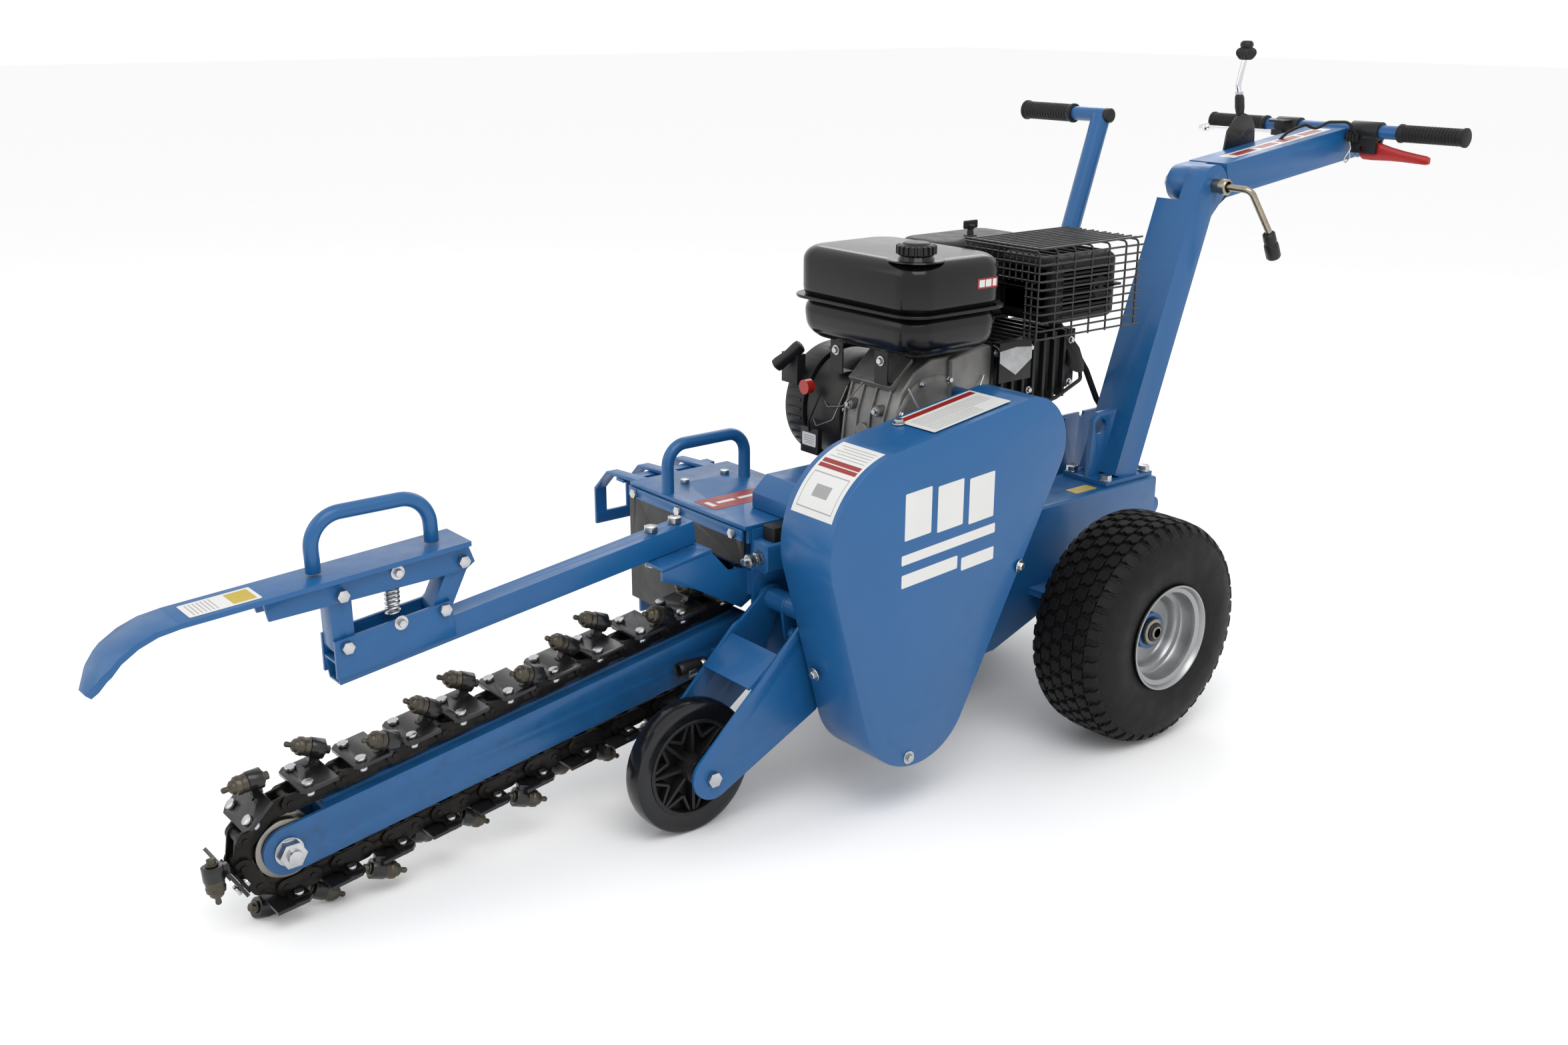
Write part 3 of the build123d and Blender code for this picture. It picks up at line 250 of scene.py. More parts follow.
# rounding of the edges of each CAD piece, in mm
WIDTH = {
    "main_frame": 1.5, "column": 2.0, "hood_cover": 1.0, "belt_guard": 1.6, "guard_back": 0.8, "boom_bar": 2.0,
    "cleaner_bar": 1.8, "front_link": 1.2, "rear_link": 1.2, "shoe": 1.2, "fork": 1.4, "tilt_arm": 2.0,
    "link_rod": 1.0, "spoil_deflector": 0.8, "bearing_cover": 1.5, "rubber_flap": 0.8, "clamp_bar": 0.7,
    "chain_outer_links": 0.8, "chain_inner_links": 0.8, "tooth_plates": 0.9, "bullet_teeth": 0.7,
    "depth_lever": 1.0, "gearcase": 2.0, "handlebar": 1.0, "machine_bolts": 0.8,
    "tooth_bolts": 0.7, "shoe_pins": 0.8, "idler": 1.0, "front_hub": 1.2, "muffler": 2.0,
}
for n, w in WIDTH.items():
    dress(n, w)


# ------------------------------------------------------------------ turned, swept and pushed pieces
def revolve(profile, centre, steps=96, axis="Y"):
    """Mesh turned about an axis through centre; profile is (radius, distance along the axis) in mm."""
    bm = bmesh.new()
    rings = []
    for k in range(steps):
        a = 2 * math.pi * k / steps
        ring = []
        for r, d in profile:
            if axis == "Y":
                p = (r * math.cos(a), d, r * math.sin(a))
            elif axis == "Z":
                p = (r * math.cos(a), r * math.sin(a), d)
            else:
                p = (d, r * math.cos(a), r * math.sin(a))
            ring.append(bm.verts.new([(p[i] + centre[i]) * MM for i in range(3)]))
        rings.append(ring)
    n = len(profile)
    for k in range(steps):
        a, b = rings[k], rings[(k + 1) % steps]
        for j in range(n - 1):
            bm.faces.new((a[j], a[j + 1], b[j + 1], b[j]))
    bmesh.ops.remove_doubles(bm, verts=bm.verts, dist=1e-6)
    bmesh.ops.recalc_face_normals(bm, faces=bm.faces)
    return bm


def solid(name, bm, edge, segments, body, material):
    """A closed solid from bm with its edges rounded by `edge` mm."""
    bmesh.ops.recalc_face_normals(bm, faces=bm.faces)
    o = new(name, finish_mesh(bm, name), body, material)
    soften(o, edge, segments)
    return o


def turned(name, profile, centre, steps, angle, body, material, axis="Y"):
    """A turned piece; edges blunter than `angle` degrees are shaded smooth."""
    o = new(name, finish_mesh(revolve(profile, centre, steps, axis), name), body, material)
    smooth(o, angle)
    return o


def wires(name, paths, radius, body, material, resolution=3, round_off=0):
    """Round bars along straight-run paths, in mm."""
    c = bpy.data.curves.new(name, "CURVE")
    c.dimensions = "3D"
    c.bevel_depth = radius * MM
    c.bevel_resolution = resolution
    c.use_fill_caps = True
    for path in paths:
        pts = fillet(path, round_off) if round_off else path
        s = c.splines.new("POLY")
        s.points.add(len(pts) - 1)
        for p, q in zip(s.points, pts):
            p.co = (q[0] * MM, q[1] * MM, q[2] * MM, 1)
    o = new(name, c, body, material)
    return o


def fillet(path, r, steps=7):
    """The path with its corners rounded to radius r."""
    out = [Vector(path[0])]
    for a, b, c in zip(path, path[1:], path[2:]):
        a, b, c = Vector(a), Vector(b), Vector(c)
        u, v = (a - b).normalized(), (c - b).normalized()
        half = u.angle(v) / 2
        if half > math.radians(88):
            out.append(b)
            continue
        run = min(r / math.tan(half), (a - b).length * 0.48, (c - b).length * 0.48)
        rad = run * math.tan(half)
        middle = b + (u + v).normalized() * (rad / math.sin(half))
        start, end = b + u * run - middle, b + v * run - middle
        turn = start.angle(end)
        for k in range(steps + 1):
            t = k / steps
            w = (start * math.sin((1 - t) * turn) + end * math.sin(t * turn)) / math.sin(turn)
            out.append(middle + w)
    out.append(Vector(path[-1]))
    return out


def slab_block(bm, corners, d):
    """A solid from a loop of points pushed along d."""
    a = [bm.verts.new(p) for p in corners]
    b = [bm.verts.new(Vector(p) + Vector(d)) for p in corners]
    n = len(a)
    bm.faces.new(a)
    bm.faces.new(b[::-1])
    for i in range(n):
        bm.faces.new((a[i], b[i], b[(i + 1) % n], a[(i + 1) % n]))


def skin(bm, loops):
    """Faces between matching loops of vertices, capped at both ends."""
    for a, b in zip(loops, loops[1:]):
        n = len(a)
        for i in range(n):
            bm.faces.new((a[i], a[(i + 1) % n], b[(i + 1) % n], b[i]))
    bm.faces.new(loops[0][::-1])
    bm.faces.new(loops[-1])


def rounded(x0, x1, y0, y1, r, steps):
    """Points of a rectangle whose corners are rounded to radius r, `steps` chords a corner."""
    out = []
    for cx, cy, a0 in ((x1 - r, y1 - r, 0), (x0 + r, y1 - r, 90), (x0 + r, y0 + r, 180), (x1 - r, y0 + r, 270)):
        for q in range(steps + 1):
            a = math.radians(a0 + q * 90 / steps)
            out.append((cx + r * math.cos(a), cy + r * math.sin(a)))
    return out


def box_mesh(bm, x0, x1, y0, y1, z0, z1):
    pts = [(x0, y0, z0), (x1, y0, z0), (x1, y1, z0), (x0, y1, z0)]
    slab_block(bm, [[v * MM for v in p] for p in pts], (0, 0, (z1 - z0) * MM))


# ------------------------------------------------------------------ rear tyres
REAR_Z = 190.5
# radius of the tyre's carcass at each distance from its middle, both in mm
CARCASS = [(0, 184.6), (30, 184), (48, 181.5), (60, 176), (68, 166), (72.5, 152), (74.5, 138)]


def carcass_r(y):
    y = abs(y)
    for (y0, r0), (y1, r1) in zip(CARCASS, CARCASS[1:]):
        if y <= y1:
            return r0 + (r1 - r0) * (y - y0) / (y1 - y0)
    return CARCASS[-1][1]


def lug(bm, s0, s1, y0, y1, bend, taper=1.0):
    """One tread block, bent in the middle, standing on the carcass; s is an angle in degrees."""
    ys = [y0, y0 + (y1 - y0) * 0.33, y0 + (y1 - y0) * 0.67, y1]
    shift = [0, bend, bend * 0.4, bend * 1.4]
    bottom, top = [], []
    for side in (0, 1):
        row = list(zip(ys, shift))
        if side:
            row = row[::-1]
        for y, b in row:
            ang = math.radians((s1 if side else s0) + b)
            inset = math.radians(0.22) * (-1 if side else 1)
            rt = carcass_r(y) + 5.6 * taper - (max(0, abs(y) - 50) ** 1.5) * 0.012
            rb = carcass_r(y) - 1.2
            bottom.append(bm.verts.new((rb * math.cos(ang - inset) * MM, y * MM,
                                        rb * math.sin(ang - inset) * MM)))
            top.append(bm.verts.new((rt * math.cos(ang + inset) * MM, y * MM, rt * math.sin(ang + inset) * MM)))
    n = len(top)
    for j in range(3):
        bm.faces.new((top[j], top[j + 1], top[n - 2 - j], top[n - 1 - j]))
    for j in range(n):
        k = (j + 1) % n
        bm.faces.new((bottom[j], bottom[k], top[k], top[j]))


def tyre(name, y, node, body):
    prof = [(76, -60), (80, -66), (92, -71), (104, -73.5), (108, -74.6), (111, -74.4), (113, -75.2),
            (134, -75.6), (150, -73.2), (165, -68.6), (175.5, -60), (181, -48), (183.6, -30), (184.4, 0)]
    prof = prof + [(r, -d) for r, d in prof[-2::-1]] + [(76, 50), (76, -50), (76, -60)]
    bm = revolve(prof, (0, y, REAR_Z), 128)
    lugs = bmesh.new()
    count = 42
    step = 360 / count
    rows = [(-27, -7, 0.0, 1.5), (-4, 14, 0.5, 1.5), (17, 35, 0.0, 1.5), (-47, -30, 0.5, 1.5),
            (38, 55, 0.5, 1.5)]
    for i in range(count):
        for y0, y1, phase, bend in rows:
            a = (i + phase) * step
            lug(lugs, a, a + step * 0.66, y0, y1, bend)
        for y0, y1, y2, y3 in ((-66, -50, -71, -58), (50, 66, 58, 71)):
            a = i * step
            lug(lugs, a, a + step * 0.62, y0, y1, 0.8)
            a2 = a + step * 0.5
            lug(lugs, a2, a2 + step * 0.3, y2, y3, 0.4, 0.45)
    bmesh.ops.translate(lugs, verts=lugs.verts, vec=(0, y * MM, REAR_Z * MM))
    bmesh.ops.recalc_face_normals(lugs, faces=lugs.faces)
    o = new(name, finish_mesh(bm, name), body, TYRE)
    smooth(o, 40)
    t = new(name + "_tread", finish_mesh(lugs, name + "_tread"), body, TYRE)
    soften(t, 0.7, 2)
    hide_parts(node)
    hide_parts(node)


tyre("tyre_near", -233, "rear_tyre_near", "wheel_near")
tyre("tyre_far", 233, "rear_tyre_far", "wheel_far")


def rim(name, y, sgn, node, body):
    prof = [(86.5, -72), (88.5, -74), (88.5, -76), (86, -76.4), (84, -74), (82, -69), (75, -66),
            (73.5, -60), (73, -44), (70, -40), (62, -38.5), (58, -33), (57, -26), (54, -22), (40, -20.5),
            (31, -20.5), (31, -16), (54, -16), (60, -20), (64, -34), (70, -34), (72, 60), (74, 66),
            (82, 69), (88.5, 75), (88.5, 72), (75.8, 64), (75.8, -62), (86.5, -72)]
    o = turned(name, [(r, sgn * d) for r, d in prof], (0, y, REAR_Z), 96, 38, body, SILVER)
    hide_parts(node)
    turned(name + "_hub", [(20, -34), (31, -34), (31, 34), (20, 34)], (0, y, REAR_Z), 64, 30, body, BLUE)
    cap = [(0.1, 48), (8, 48), (8, 45), (14, 45), (16, 43), (16, 38), (24, 37), (24, 33), (0.1, 33)]
    turned(name + "_cap", [(r, -sgn * d) for r, d in cap], (0, y, REAR_Z), 40, 30, body, PLASTIC)


rim("rim_near", -233, 1, "rear_rim_near", "wheel_near")
rim("rim_far", 233, -1, "rear_rim_far", "wheel_far")

# ------------------------------------------------------------------ front wheel
FRONT_X, FRONT_Z = -777, 102.7
prof = [(76, -14), (88, -16.4), (97, -16.8), (100.6, -15), (102.2, -10), (102.7, 0)]
prof = prof + [(r, -d) for r, d in prof[-2::-1]] + [(76, -14)]
o = turned("front_tyre_look", prof, (FRONT_X, -45, FRONT_Z), 120, 35, "front_wheel", GLOSS_RUBBER)
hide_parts("front_tyre")

# web and forked spokes of the front hub
turned("front_web", [(18, -38), (72, -42), (76.2, -42), (76.2, -39), (72, -38), (18, -34), (18, -38)],
       (FRONT_X, 0, FRONT_Z), 96, 30, "front_wheel", PLASTIC)
bm = bmesh.new()
for k in range(8):
    a = math.pi * (k + 0.5) / 4
    for turn in (-0.42, 0.42):
        c0, s0 = math.cos(a), math.sin(a)
        c1, s1 = math.cos(a + turn * 0.75), math.sin(a + turn * 0.75)
        p0, p1 = (46 * c0, 46 * s0), (72.5 * c1, 72.5 * s1)
        dx, dz = p1[0] - p0[0], p1[1] - p0[1]
        n = math.hypot(dx, dz)
        wx, wz = -dz / n * 2.4, dx / n * 2.4
        pts = [(p0[0] + wx, p0[1] + wz), (p1[0] + wx, p1[1] + wz), (p1[0] - wx, p1[1] - wz),
               (p0[0] - wx, p0[1] - wz)]
        slab_block(bm, [((FRONT_X + x) * MM, -0.0555, (FRONT_Z + z) * MM) for x, z in pts], (0, 0.0165, 0))
solid("front_forks", bm, 1, 2, "front_wheel", PLASTIC)
turned("tension_sleeve", [(0.1, -722), (7, -722), (7, -728), (10.4, -730), (11.6, -728), (12, -722),
                          (11.6, -700), (10.6, -682), (7.6, -676), (0.1, -676)], (0, 46, 209), 40, 35,
       "chassis", PLASTIC, axis="X")

# ------------------------------------------------------------------ grips
def grip(name, at, y0, y1, r, body, node):
    """Moulded hand grip with rings of grooves and a flared end."""
    prof = [(12.6, y0)]
    sgn = 1 if y1 > y0 else -1
    length = abs(y1 - y0)
    prof += [(r, y0), (r + 1.2, y0 + sgn * 1.5), (r + 1.2, y0 + sgn * 6), (r, y0 + sgn * 8)]
    d = 12
    while d < length - 12:
        prof += [(r - 0.2, y0 + sgn * d), (r - 1.3, y0 + sgn * (d + 0.8)), (r - 1.3, y0 + sgn * (d + 2.2)),
                 (r - 0.2, y0 + sgn * (d + 3.0))]
        d += 6.5
    prof += [(r, y0 + sgn * (length - 6)), (r + 1.5, y0 + sgn * (length - 5)),
             (r + 1.5, y0 + sgn * (length - 1)), (r, y1), (0.1, y1)]
    o = turned(name, prof, (at[0], 0, at[1]), 56, 40, body, RUBBER)
    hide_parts(node)


grip("grip_near", (789, 945), -143, -275, 16, "tilt_arm", "grips")
grip("grip_far", (789, 945), 143, 275, 16, "tilt_arm", "grips")
grip("depth_grip", (305, 980), 224, 344, 16, "depth_lever", "lever_grip")

# ------------------------------------------------------------------ fuel tank
CAP_X, CAP_Y = -345, -45


def shell_block(name, box, r_side, r_top, body, material, node=None, pull=0.0):
    """A rounded box: corners r_side in plan, edges r_top above and below; pull draws the bottom in."""
    x0, x1, y0, y1, z0, z1 = box
    steps = 7
    turns = [math.pi / 2 * k / steps for k in range(steps + 1)]
    low = [(z0 + r_top * (1 - math.cos(a)), r_top * (1 - math.sin(a))) for a in turns]
    top = [(z1 - r_top * (1 - math.cos(a)), r_top * (1 - math.sin(a))) for a in turns[::-1]]
    bm = bmesh.new()
    loops = []
    for z, inset in low + top:
        t = (z - z0) / (z1 - z0)
        d = inset + pull * (1 - t)
        outline = rounded(x0 + d, x1 - d, y0 + d, y1 - d, max(2.0, r_side - inset * 0.6), 8)
        loops.append([bm.verts.new((x * MM, y * MM, z * MM)) for x, y in outline])
    skin(bm, loops)
    bmesh.ops.recalc_face_normals(bm, faces=bm.faces)
    o = new(name, finish_mesh(bm, name), body, material)
    smooth(o, 40)
    if node:
        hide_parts(node)
    return o


def rounded_ring(name, box, z0, z1, r, body, material, edge=1.2):
    """A flat plate with rounded corners and edges."""
    bm = bmesh.new()
    slab_block(bm, [(x * MM, y * MM, z0 * MM) for x, y in rounded(*box, r, 9)], (0, 0, (z1 - z0) * MM))
    solid(name, bm, edge, 3, body, material)


shell_block("tank_low", (-386, -182, -86, 198, 656, 728), 44, 30, "chassis", TANK, "fuel_tank", pull=6)
shell_block("tank_high", (-386, -182, -86, 198, 716, 805), 44, 24, "chassis", TANK, "fuel_tank")
rounded_ring("tank_seam", (-394.5, -173.5, -94.5, 206.5), 722.4, 727.6, 46, "chassis", TANK, 1.8)
turned("filler_ring", [(44, 804), (43, 806), (38, 806.4), (33, 805.4), (28, 805.4), (25, 812), (0.1, 812)],
       (CAP_X, CAP_Y, 0), 72, 50, "chassis", TANK, axis="Z")
o = turned("fuel_cap_look", [(0.1, 831.4), (18, 831.4), (20, 830.4), (22, 828.2), (24.5, 828), (26.5, 826),
                             (27.5, 822), (27.8, 814), (27, 812.6), (0.1, 812.6)], (CAP_X, CAP_Y, 0), 72,
           30, "fuel_cap", PLASTIC, axis="Z")
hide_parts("fuel_cap")
bm = bmesh.new()
for k in range(20):
    a = 2 * math.pi * k / 20
    c, s = math.cos(a), math.sin(a)
    px, py = CAP_X + 28.4 * c, CAP_Y + 28.4 * s
    pts = [(px - 2.6 * s - 2 * c, py + 2.6 * c - 2 * s), (px - 1.8 * s + 2.6 * c, py + 1.8 * c + 2.6 * s),
           (px + 1.8 * s + 2.6 * c, py - 1.8 * c + 2.6 * s), (px + 2.6 * s - 2 * c, py - 2.6 * c - 2 * s)]
    slab_block(bm, [(x * MM, y * MM, 0.8145) for x, y in pts], (0, 0, 0.0125))
solid("fuel_cap_grip", bm, 0.6, 2, "fuel_cap", PLASTIC)

# ------------------------------------------------------------------ muffler, its cage and the air cleaner
shell_block("muffler_look", (-56, 100, -68, 60, 672, 782), 16, 14, "chassis", CAST_DARK, "muffler")
rounded_ring("muffler_seam", (-60, 104, -72, 64), 724.5, 729.5, 18, "chassis", CAST_DARK, 1.2)
bm = bmesh.new()
for z in (686, 700, 714, 740, 754, 768):
    box_mesh(bm, -40, 84, -70.5, -66, z - 2.5, z + 2.5)
for x in (-40, -16, 8, 32, 56, 80):
    box_mesh(bm, x - 3, x + 3, -56, 48, 780, 784)
solid("muffler_ribs", bm, 2.0, 3, "chassis", CAST_DARK)
turned("muffler_outlet", [(0.1, -72.5), (6, -72.5), (7, -71), (13, -71), (15, -72.6), (18, -72.6),
                          (20, -70), (20, -66)], (52, 0, 725), 48, 30, "chassis", CAST_DARK)
# outer faces of the wire cage round the muffler
X0, X1, Y0, Y1, Z0, Z1 = -118, 133, -90, 76, 661, 803
paths = []
for k in range(12):
    z = Z0 + 13.1 * k
    end = X1 - (5 if k % 2 else 0)
    if z < 750:
        paths.append([(X0, Y0 + 30, z), (X0, Y0, z), (end, Y0, z)])
    else:
        paths.append([(X0, Y1, z), (X0, Y0, z), (end, Y0, z)])
for x in (X0 + 0.5, -76, -34, 8, 50, 92, 122):
    paths.append([(x, Y0 + 2.6, Z0 - 4), (x, Y0 + 2.6, Z1 - 2.6), (x, Y1, Z1 - 2.6)])
for k in range(1, 13):
    y = Y0 + 13.6 * k
    paths.append([(X0 + 2.6, y, Z1 - 54), (X0 + 2.6, y, Z1), (X1 - (4 if k % 2 else 0), y, Z1)])
paths.append([(X0 + 2, Y0 + 30, Z0 - 3), (X0 + 2, Y0 + 30, Z1 - 50)])
paths.append([(X0 + 2, Y0 + 18, Z0 - 3), (X0 + 2, Y0 + 18, Z1 - 50)])
cage = wires("cage_wires", paths, 1.75, "chassis", BLACK, 2, round_off=7)
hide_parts("muffler_cage")
shell_block("air_box", (-160, 40, 86, 196, 662, 762), 20, 8, "chassis", SATIN, "air_cleaner")
shell_block("air_lid", (-164, 42, 84, 198, 756, 799), 26, 17, "chassis", SATIN, "air_cleaner")
turned("air_knob", [(12, 798), (11, 801), (6, 802.5), (5, 810), (7, 811), (7.4, 816), (5, 819),
                    (0.1, 819.5)], (-63, 120, 0), 40, 40, "chassis", PLASTIC, axis="Z")
bm = bmesh.new()
box_mesh(bm, -79, -47, 117.4, 122.6, 811, 825)
solid("air_knob_wings", bm, 2.4, 3, "chassis", PLASTIC)

# ------------------------------------------------------------------ cleaner spring and clamp lever
SPRING_X = -1159
CLAMP_AXIS = (380, 0, 867)
THROTTLE_X, THROTTLE_Y = 562, 48


def coil(cx, cy, z0, z1, r, turns, per=26):
    n = turns * per
    out = []
    for k in range(n + 1):
        a = 2 * math.pi * k / per
        t = k / n
        t = t + 0.018 * math.sin(2 * math.pi * t)
        out.append((cx + r * math.cos(a), cy + r * math.sin(a), z0 + (z1 - z0) * t))
    return out


spring = wires("spring_look", [coil(SPRING_X, 95, 388, 448, 9, 9)], 1.9, "chassis", ZINC, 4)
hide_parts("cleaner_spring")
lever = wires("clamp_rod", [[(380, -66, 867), (392, -108, 864), (434, -122, 793), (446, -122, 771)]], 6,
              "clamp_lever", CHROMATE, 6, round_off=16)
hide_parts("clamp_lever")
for name, prof, material in (("clamp_collar", [(10, -70), (12, -70), (14, -68), (14, -56), (12, -54),
                                               (12, -41.5), (10, -41.5)], CHROMATE),
                             ("clamp_pin", [(0.1, -60), (10, -60), (10, 44), (12, 44), (16, 45), (16, 56),
                                            (12, 58), (0.1, 58)], ZINC)):
    turned(name, prof, CLAMP_AXIS, 48, 35, "clamp_lever", material)
knob = revolve([(0.1, 26), (9, 26), (11, 24), (11.5, 10), (10.5, 6), (12.5, 3), (13, -2), (13, -22),
                (11, -25), (0.1, -25)], (0, 0, 0), 36, "Z")
bmesh.ops.transform(knob, matrix=Matrix.Translation((0.4475, -0.122,
                                                     0.7655)) @ Matrix.Rotation(math.radians(-27), 4, "Y"),
                    verts=knob.verts)
o = new("clamp_knob", finish_mesh(knob, "clamp_knob"), "clamp_lever", PLASTIC)
smooth(o, 35)

# ------------------------------------------------------------------ labels
def panel(name, origin, across, up, w, h, thick, body, material, r=2.5):
    """A thin label: w along `across`, h along `up`, raised by thick; origin is its middle."""
    o0, a, u = Vector(origin), Vector(across).normalized(), Vector(up).normalized()
    n = a.cross(u)
    outline = rounded(-w / 2, w / 2, -h / 2, h / 2, r, 4)
    bm = bmesh.new()
    slab_block(bm, [(o0 + a * x + u * y) * MM for x, y in outline], n * thick * MM)
    bmesh.ops.recalc_face_normals(bm, faces=bm.faces)
    return new(name, finish_mesh(bm, name), body, material)


def label(name, origin, across, up, w, h, body, rows=(), bars=(), ground=None):
    """A plain warning-style plate: bars are (x, y, w, h, material); rows are grey lines standing for print."""
    a, u = Vector(across).normalized(), Vector(up).normalized()
    n = a.cross(u)
    o0 = Vector(origin)
    panel(name, o0 + n * 0.05, a, u, w, h, 0.25, body, ground or WHITE)
    for k, (x, y, bw, bh, m) in enumerate(bars):
        panel(f"{name}_bar{k}", o0 + n * 0.3 + a * x + u * y, a, u, bw, bh, 0.12, body, m, 0.8)
    for k, (x, y, bw) in enumerate(rows):
        panel(f"{name}_row{k}", o0 + n * 0.3 + a * x + u * y, a, u, bw, 1.3, 0.1, body, LABEL_GREY, 0.3)


ARC_X, ARC_Z, ARC_R = -524, 440, 138


def arc_label(name, a0, a1, y0, y1, material, lift, steps=22):
    """A thin label wrapped on the guard's front-upper curve, a0 to a1 in degrees."""
    bm = bmesh.new()
    cols = []
    for k in range(steps + 1):
        a = math.radians(a0 + (a1 - a0) * k / steps)
        col = []
        for r in (ARC_R + 0.05, ARC_R + lift):
            for y in (y0, y1):
                col.append(bm.verts.new(((ARC_X + r * math.cos(a)) * MM, y * MM,
                                         (ARC_Z + r * math.sin(a)) * MM)))
        cols.append(col)
    for a, b in zip(cols, cols[1:]):
        bm.faces.new((a[2], a[3], b[3], b[2]))
        bm.faces.new((a[0], b[0], b[1], a[1]))
        bm.faces.new((a[0], a[2], b[2], b[0]))
        bm.faces.new((a[1], b[1], b[3], a[3]))
    bm.faces.new((cols[0][0], cols[0][1], cols[0][3], cols[0][2]))
    bm.faces.new((cols[-1][0], cols[-1][2], cols[-1][3], cols[-1][1]))
    bmesh.ops.recalc_face_normals(bm, faces=bm.faces)
    o = new(name, finish_mesh(bm, name), "chassis", material)
    smooth(o, 30)


arc_label("curve_label", 158, 103, -214, -126, WHITE, 0.3)
arc_label("curve_label_head", 127, 124, -209, -131, LABEL_RED, 0.42)
arc_label("curve_label_head2", 123.2, 120, -209, -131, LABEL_RED, 0.42)
for k in range(5):
    arc_label(f"curve_label_row{k}", 117.5 - k * 2.6, 117.0 - k * 2.6, -207, -134 - 9 * (k % 2), LABEL_GREY,
              0.42)
arc_label("curve_label_frame", 154, 153.3, -207, -133, LABEL_GREY, 0.42)
arc_label("curve_label_frame2", 131, 130.3, -207, -133, LABEL_GREY, 0.42)
arc_label("curve_label_frame3", 154, 130.3, -207, -206, LABEL_GREY, 0.42)
arc_label("curve_label_frame4", 154, 130.3, -134, -133, LABEL_GREY, 0.42)
arc_label("curve_label_disc", 146, 138, -186, -154, LABEL_GREY, 0.42)
top_a = Vector((256, 0, 37)).normalized()
label("top_label", (-382, -170, 602.0), top_a, (0, 1, 0), 158, 86, "chassis",
      rows=[(0, y, 140) for y in (16, 11, 6, 1, -4, -9)] + [(-20, y, 100) for y in (-15, -20, -25, -30,
                                                                                    -35)],
      bars=[(0, 32, 150, 13, LABEL_RED)])

# plain white shapes on the guard's flat face
for k, (x, z, w, h) in enumerate(((-498, 480, 52, 70), (-434, 480, 52, 70), (-370, 480, 52, 70),
                                  (-434, 421, 190, 15), (-472, 386, 112, 20), (-374, 386, 68, 20))):
    panel(f"guard_stripe{k}", (x, -225.02, z), (1, 0, 0.07), (0, 0, 1), w, h, 0.2, "chassis", WHITE, 2)
label("hood_label", (-538, 148, 420.1), (1, 0, 0), (0, 1, 0), 128, 56, "chassis", ground=LABEL_RED,
      bars=[(-22, 0, 34, 9, WHITE), (20, 0, 34, 9, WHITE), (-52, 0, 9, 24, WHITE), (52, 0, 9, 24, WHITE)])
# black sheet painted as the shade inside the slot in the near side of the bearing cover, with the spring end
# inside it
panel("cover_slot_painted_shade", (-530, -0.1, 443), (1, 0, 0), (0, 0, 1), 17, 26, 0.3, "chassis", PLASTIC, 8)
panel("cover_spring", (-532, -0.45, 440), (1, 0, 0.3), (-0.3, 0, 1), 8, 13, 0.5, "chassis", BRASS, 3.5)
label("shoe_label", (-1388, 93, 460.8), (0, -1, 0), (0.999, 0, 0.055), 48, 92, "shoe",
      rows=[(0, y, 38) for y in (-38, -33, -28, -23, -18, -13, -8)], bars=[(0, 26, 38, 30, YELLOW)])
label("frame_label", (86, -30, 361.1), (1, 0, 0), (0, 1, 0), 54, 26, "chassis", ground=YELLOW,
      rows=[(0, 5, 44), (0, 0, 44), (0, -5, 30)])
arm = Vector((394, 0, 49)).normalized()
label("arm_label", (606, -4, 927.9), arm, (0, 1, 0), 300, 34, "tilt_arm",
      bars=[(-100, 0, 60, 20, LABEL_RED), (-30, 0, 52, 20, LABEL_RED), (36, 0, 60, 20, LABEL_RED),
            (104, 0, 56, 20, LABEL_RED)])
label("tank_label", (-232, -86.2, 764), (1, 0, 0), (0, 0, 1), 44, 16, "chassis", ground=LABEL_RED,
      bars=[(-12, 0, 12, 11, WHITE), (2, 0, 12, 11, WHITE), (15, 0, 8, 11, WHITE)])
label("box_label", (-372.2, 168, 486), (0, -1, 0), (0, 0, 1), 34, 22, "chassis",
      rows=[(0, 6, 26), (0, 2, 26), (0, -2, 26), (0, -6, 18)])


# ------------------------------------------------------------------ fasteners seen on the guard
def hexbolt(bm, at, axis, r, h, washer=1.7):
    """A hexagon head with a chamfered crown and a washer, standing on `at` along axis."""
    q = Vector((0, 0, 1)).rotation_difference(Vector(axis)).to_matrix().to_4x4()
    q.translation = Vector(at) * MM
    for size, sides, z0, z1, s in ((r * washer, 24, 0, 1.6, 0.97), (r, 6, 1.6, h, 0.9)):
        turns = [2 * math.pi * k / sides for k in range(sides)]
        pts = [(size * math.cos(a), size * math.sin(a)) for a in turns]
        rings = []
        for z, f in ((z0, 1), (z1 - 0.8, 1), (z1, s)):
            rings.append([bm.verts.new(q @ Vector((x * f * MM, y * f * MM, z * MM))) for x, y in pts])
        skin(bm, rings)


bm = bmesh.new()
for at, axis in (((-460, -140, 589.5), (-0.12, 0, 1)), ((-617, -140, 236), (-1, 0, -0.26)),
                 ((-281, -225, 354), (0.25, -0.96, -0.1)), ((-503, -225, 99), (0, -1, 0))):
    hexbolt(bm, at, axis, 6.2, 6.6)
solid("guard_fasteners", bm, 0.4, 2, "chassis", ZINC)
# spring bolts of the trench cleaner, one in the shoe and one in the bar
for name, z, body in (("spring_bolt_top", 455, "shoe"), ("spring_bolt_low", 384, "chassis")):
    bm = bmesh.new()
    hexbolt(bm, (SPRING_X, 72.2, z), (0, -1, 0), 6, 7)
    solid(name, bm, 0.4, 2, body, ZINC)

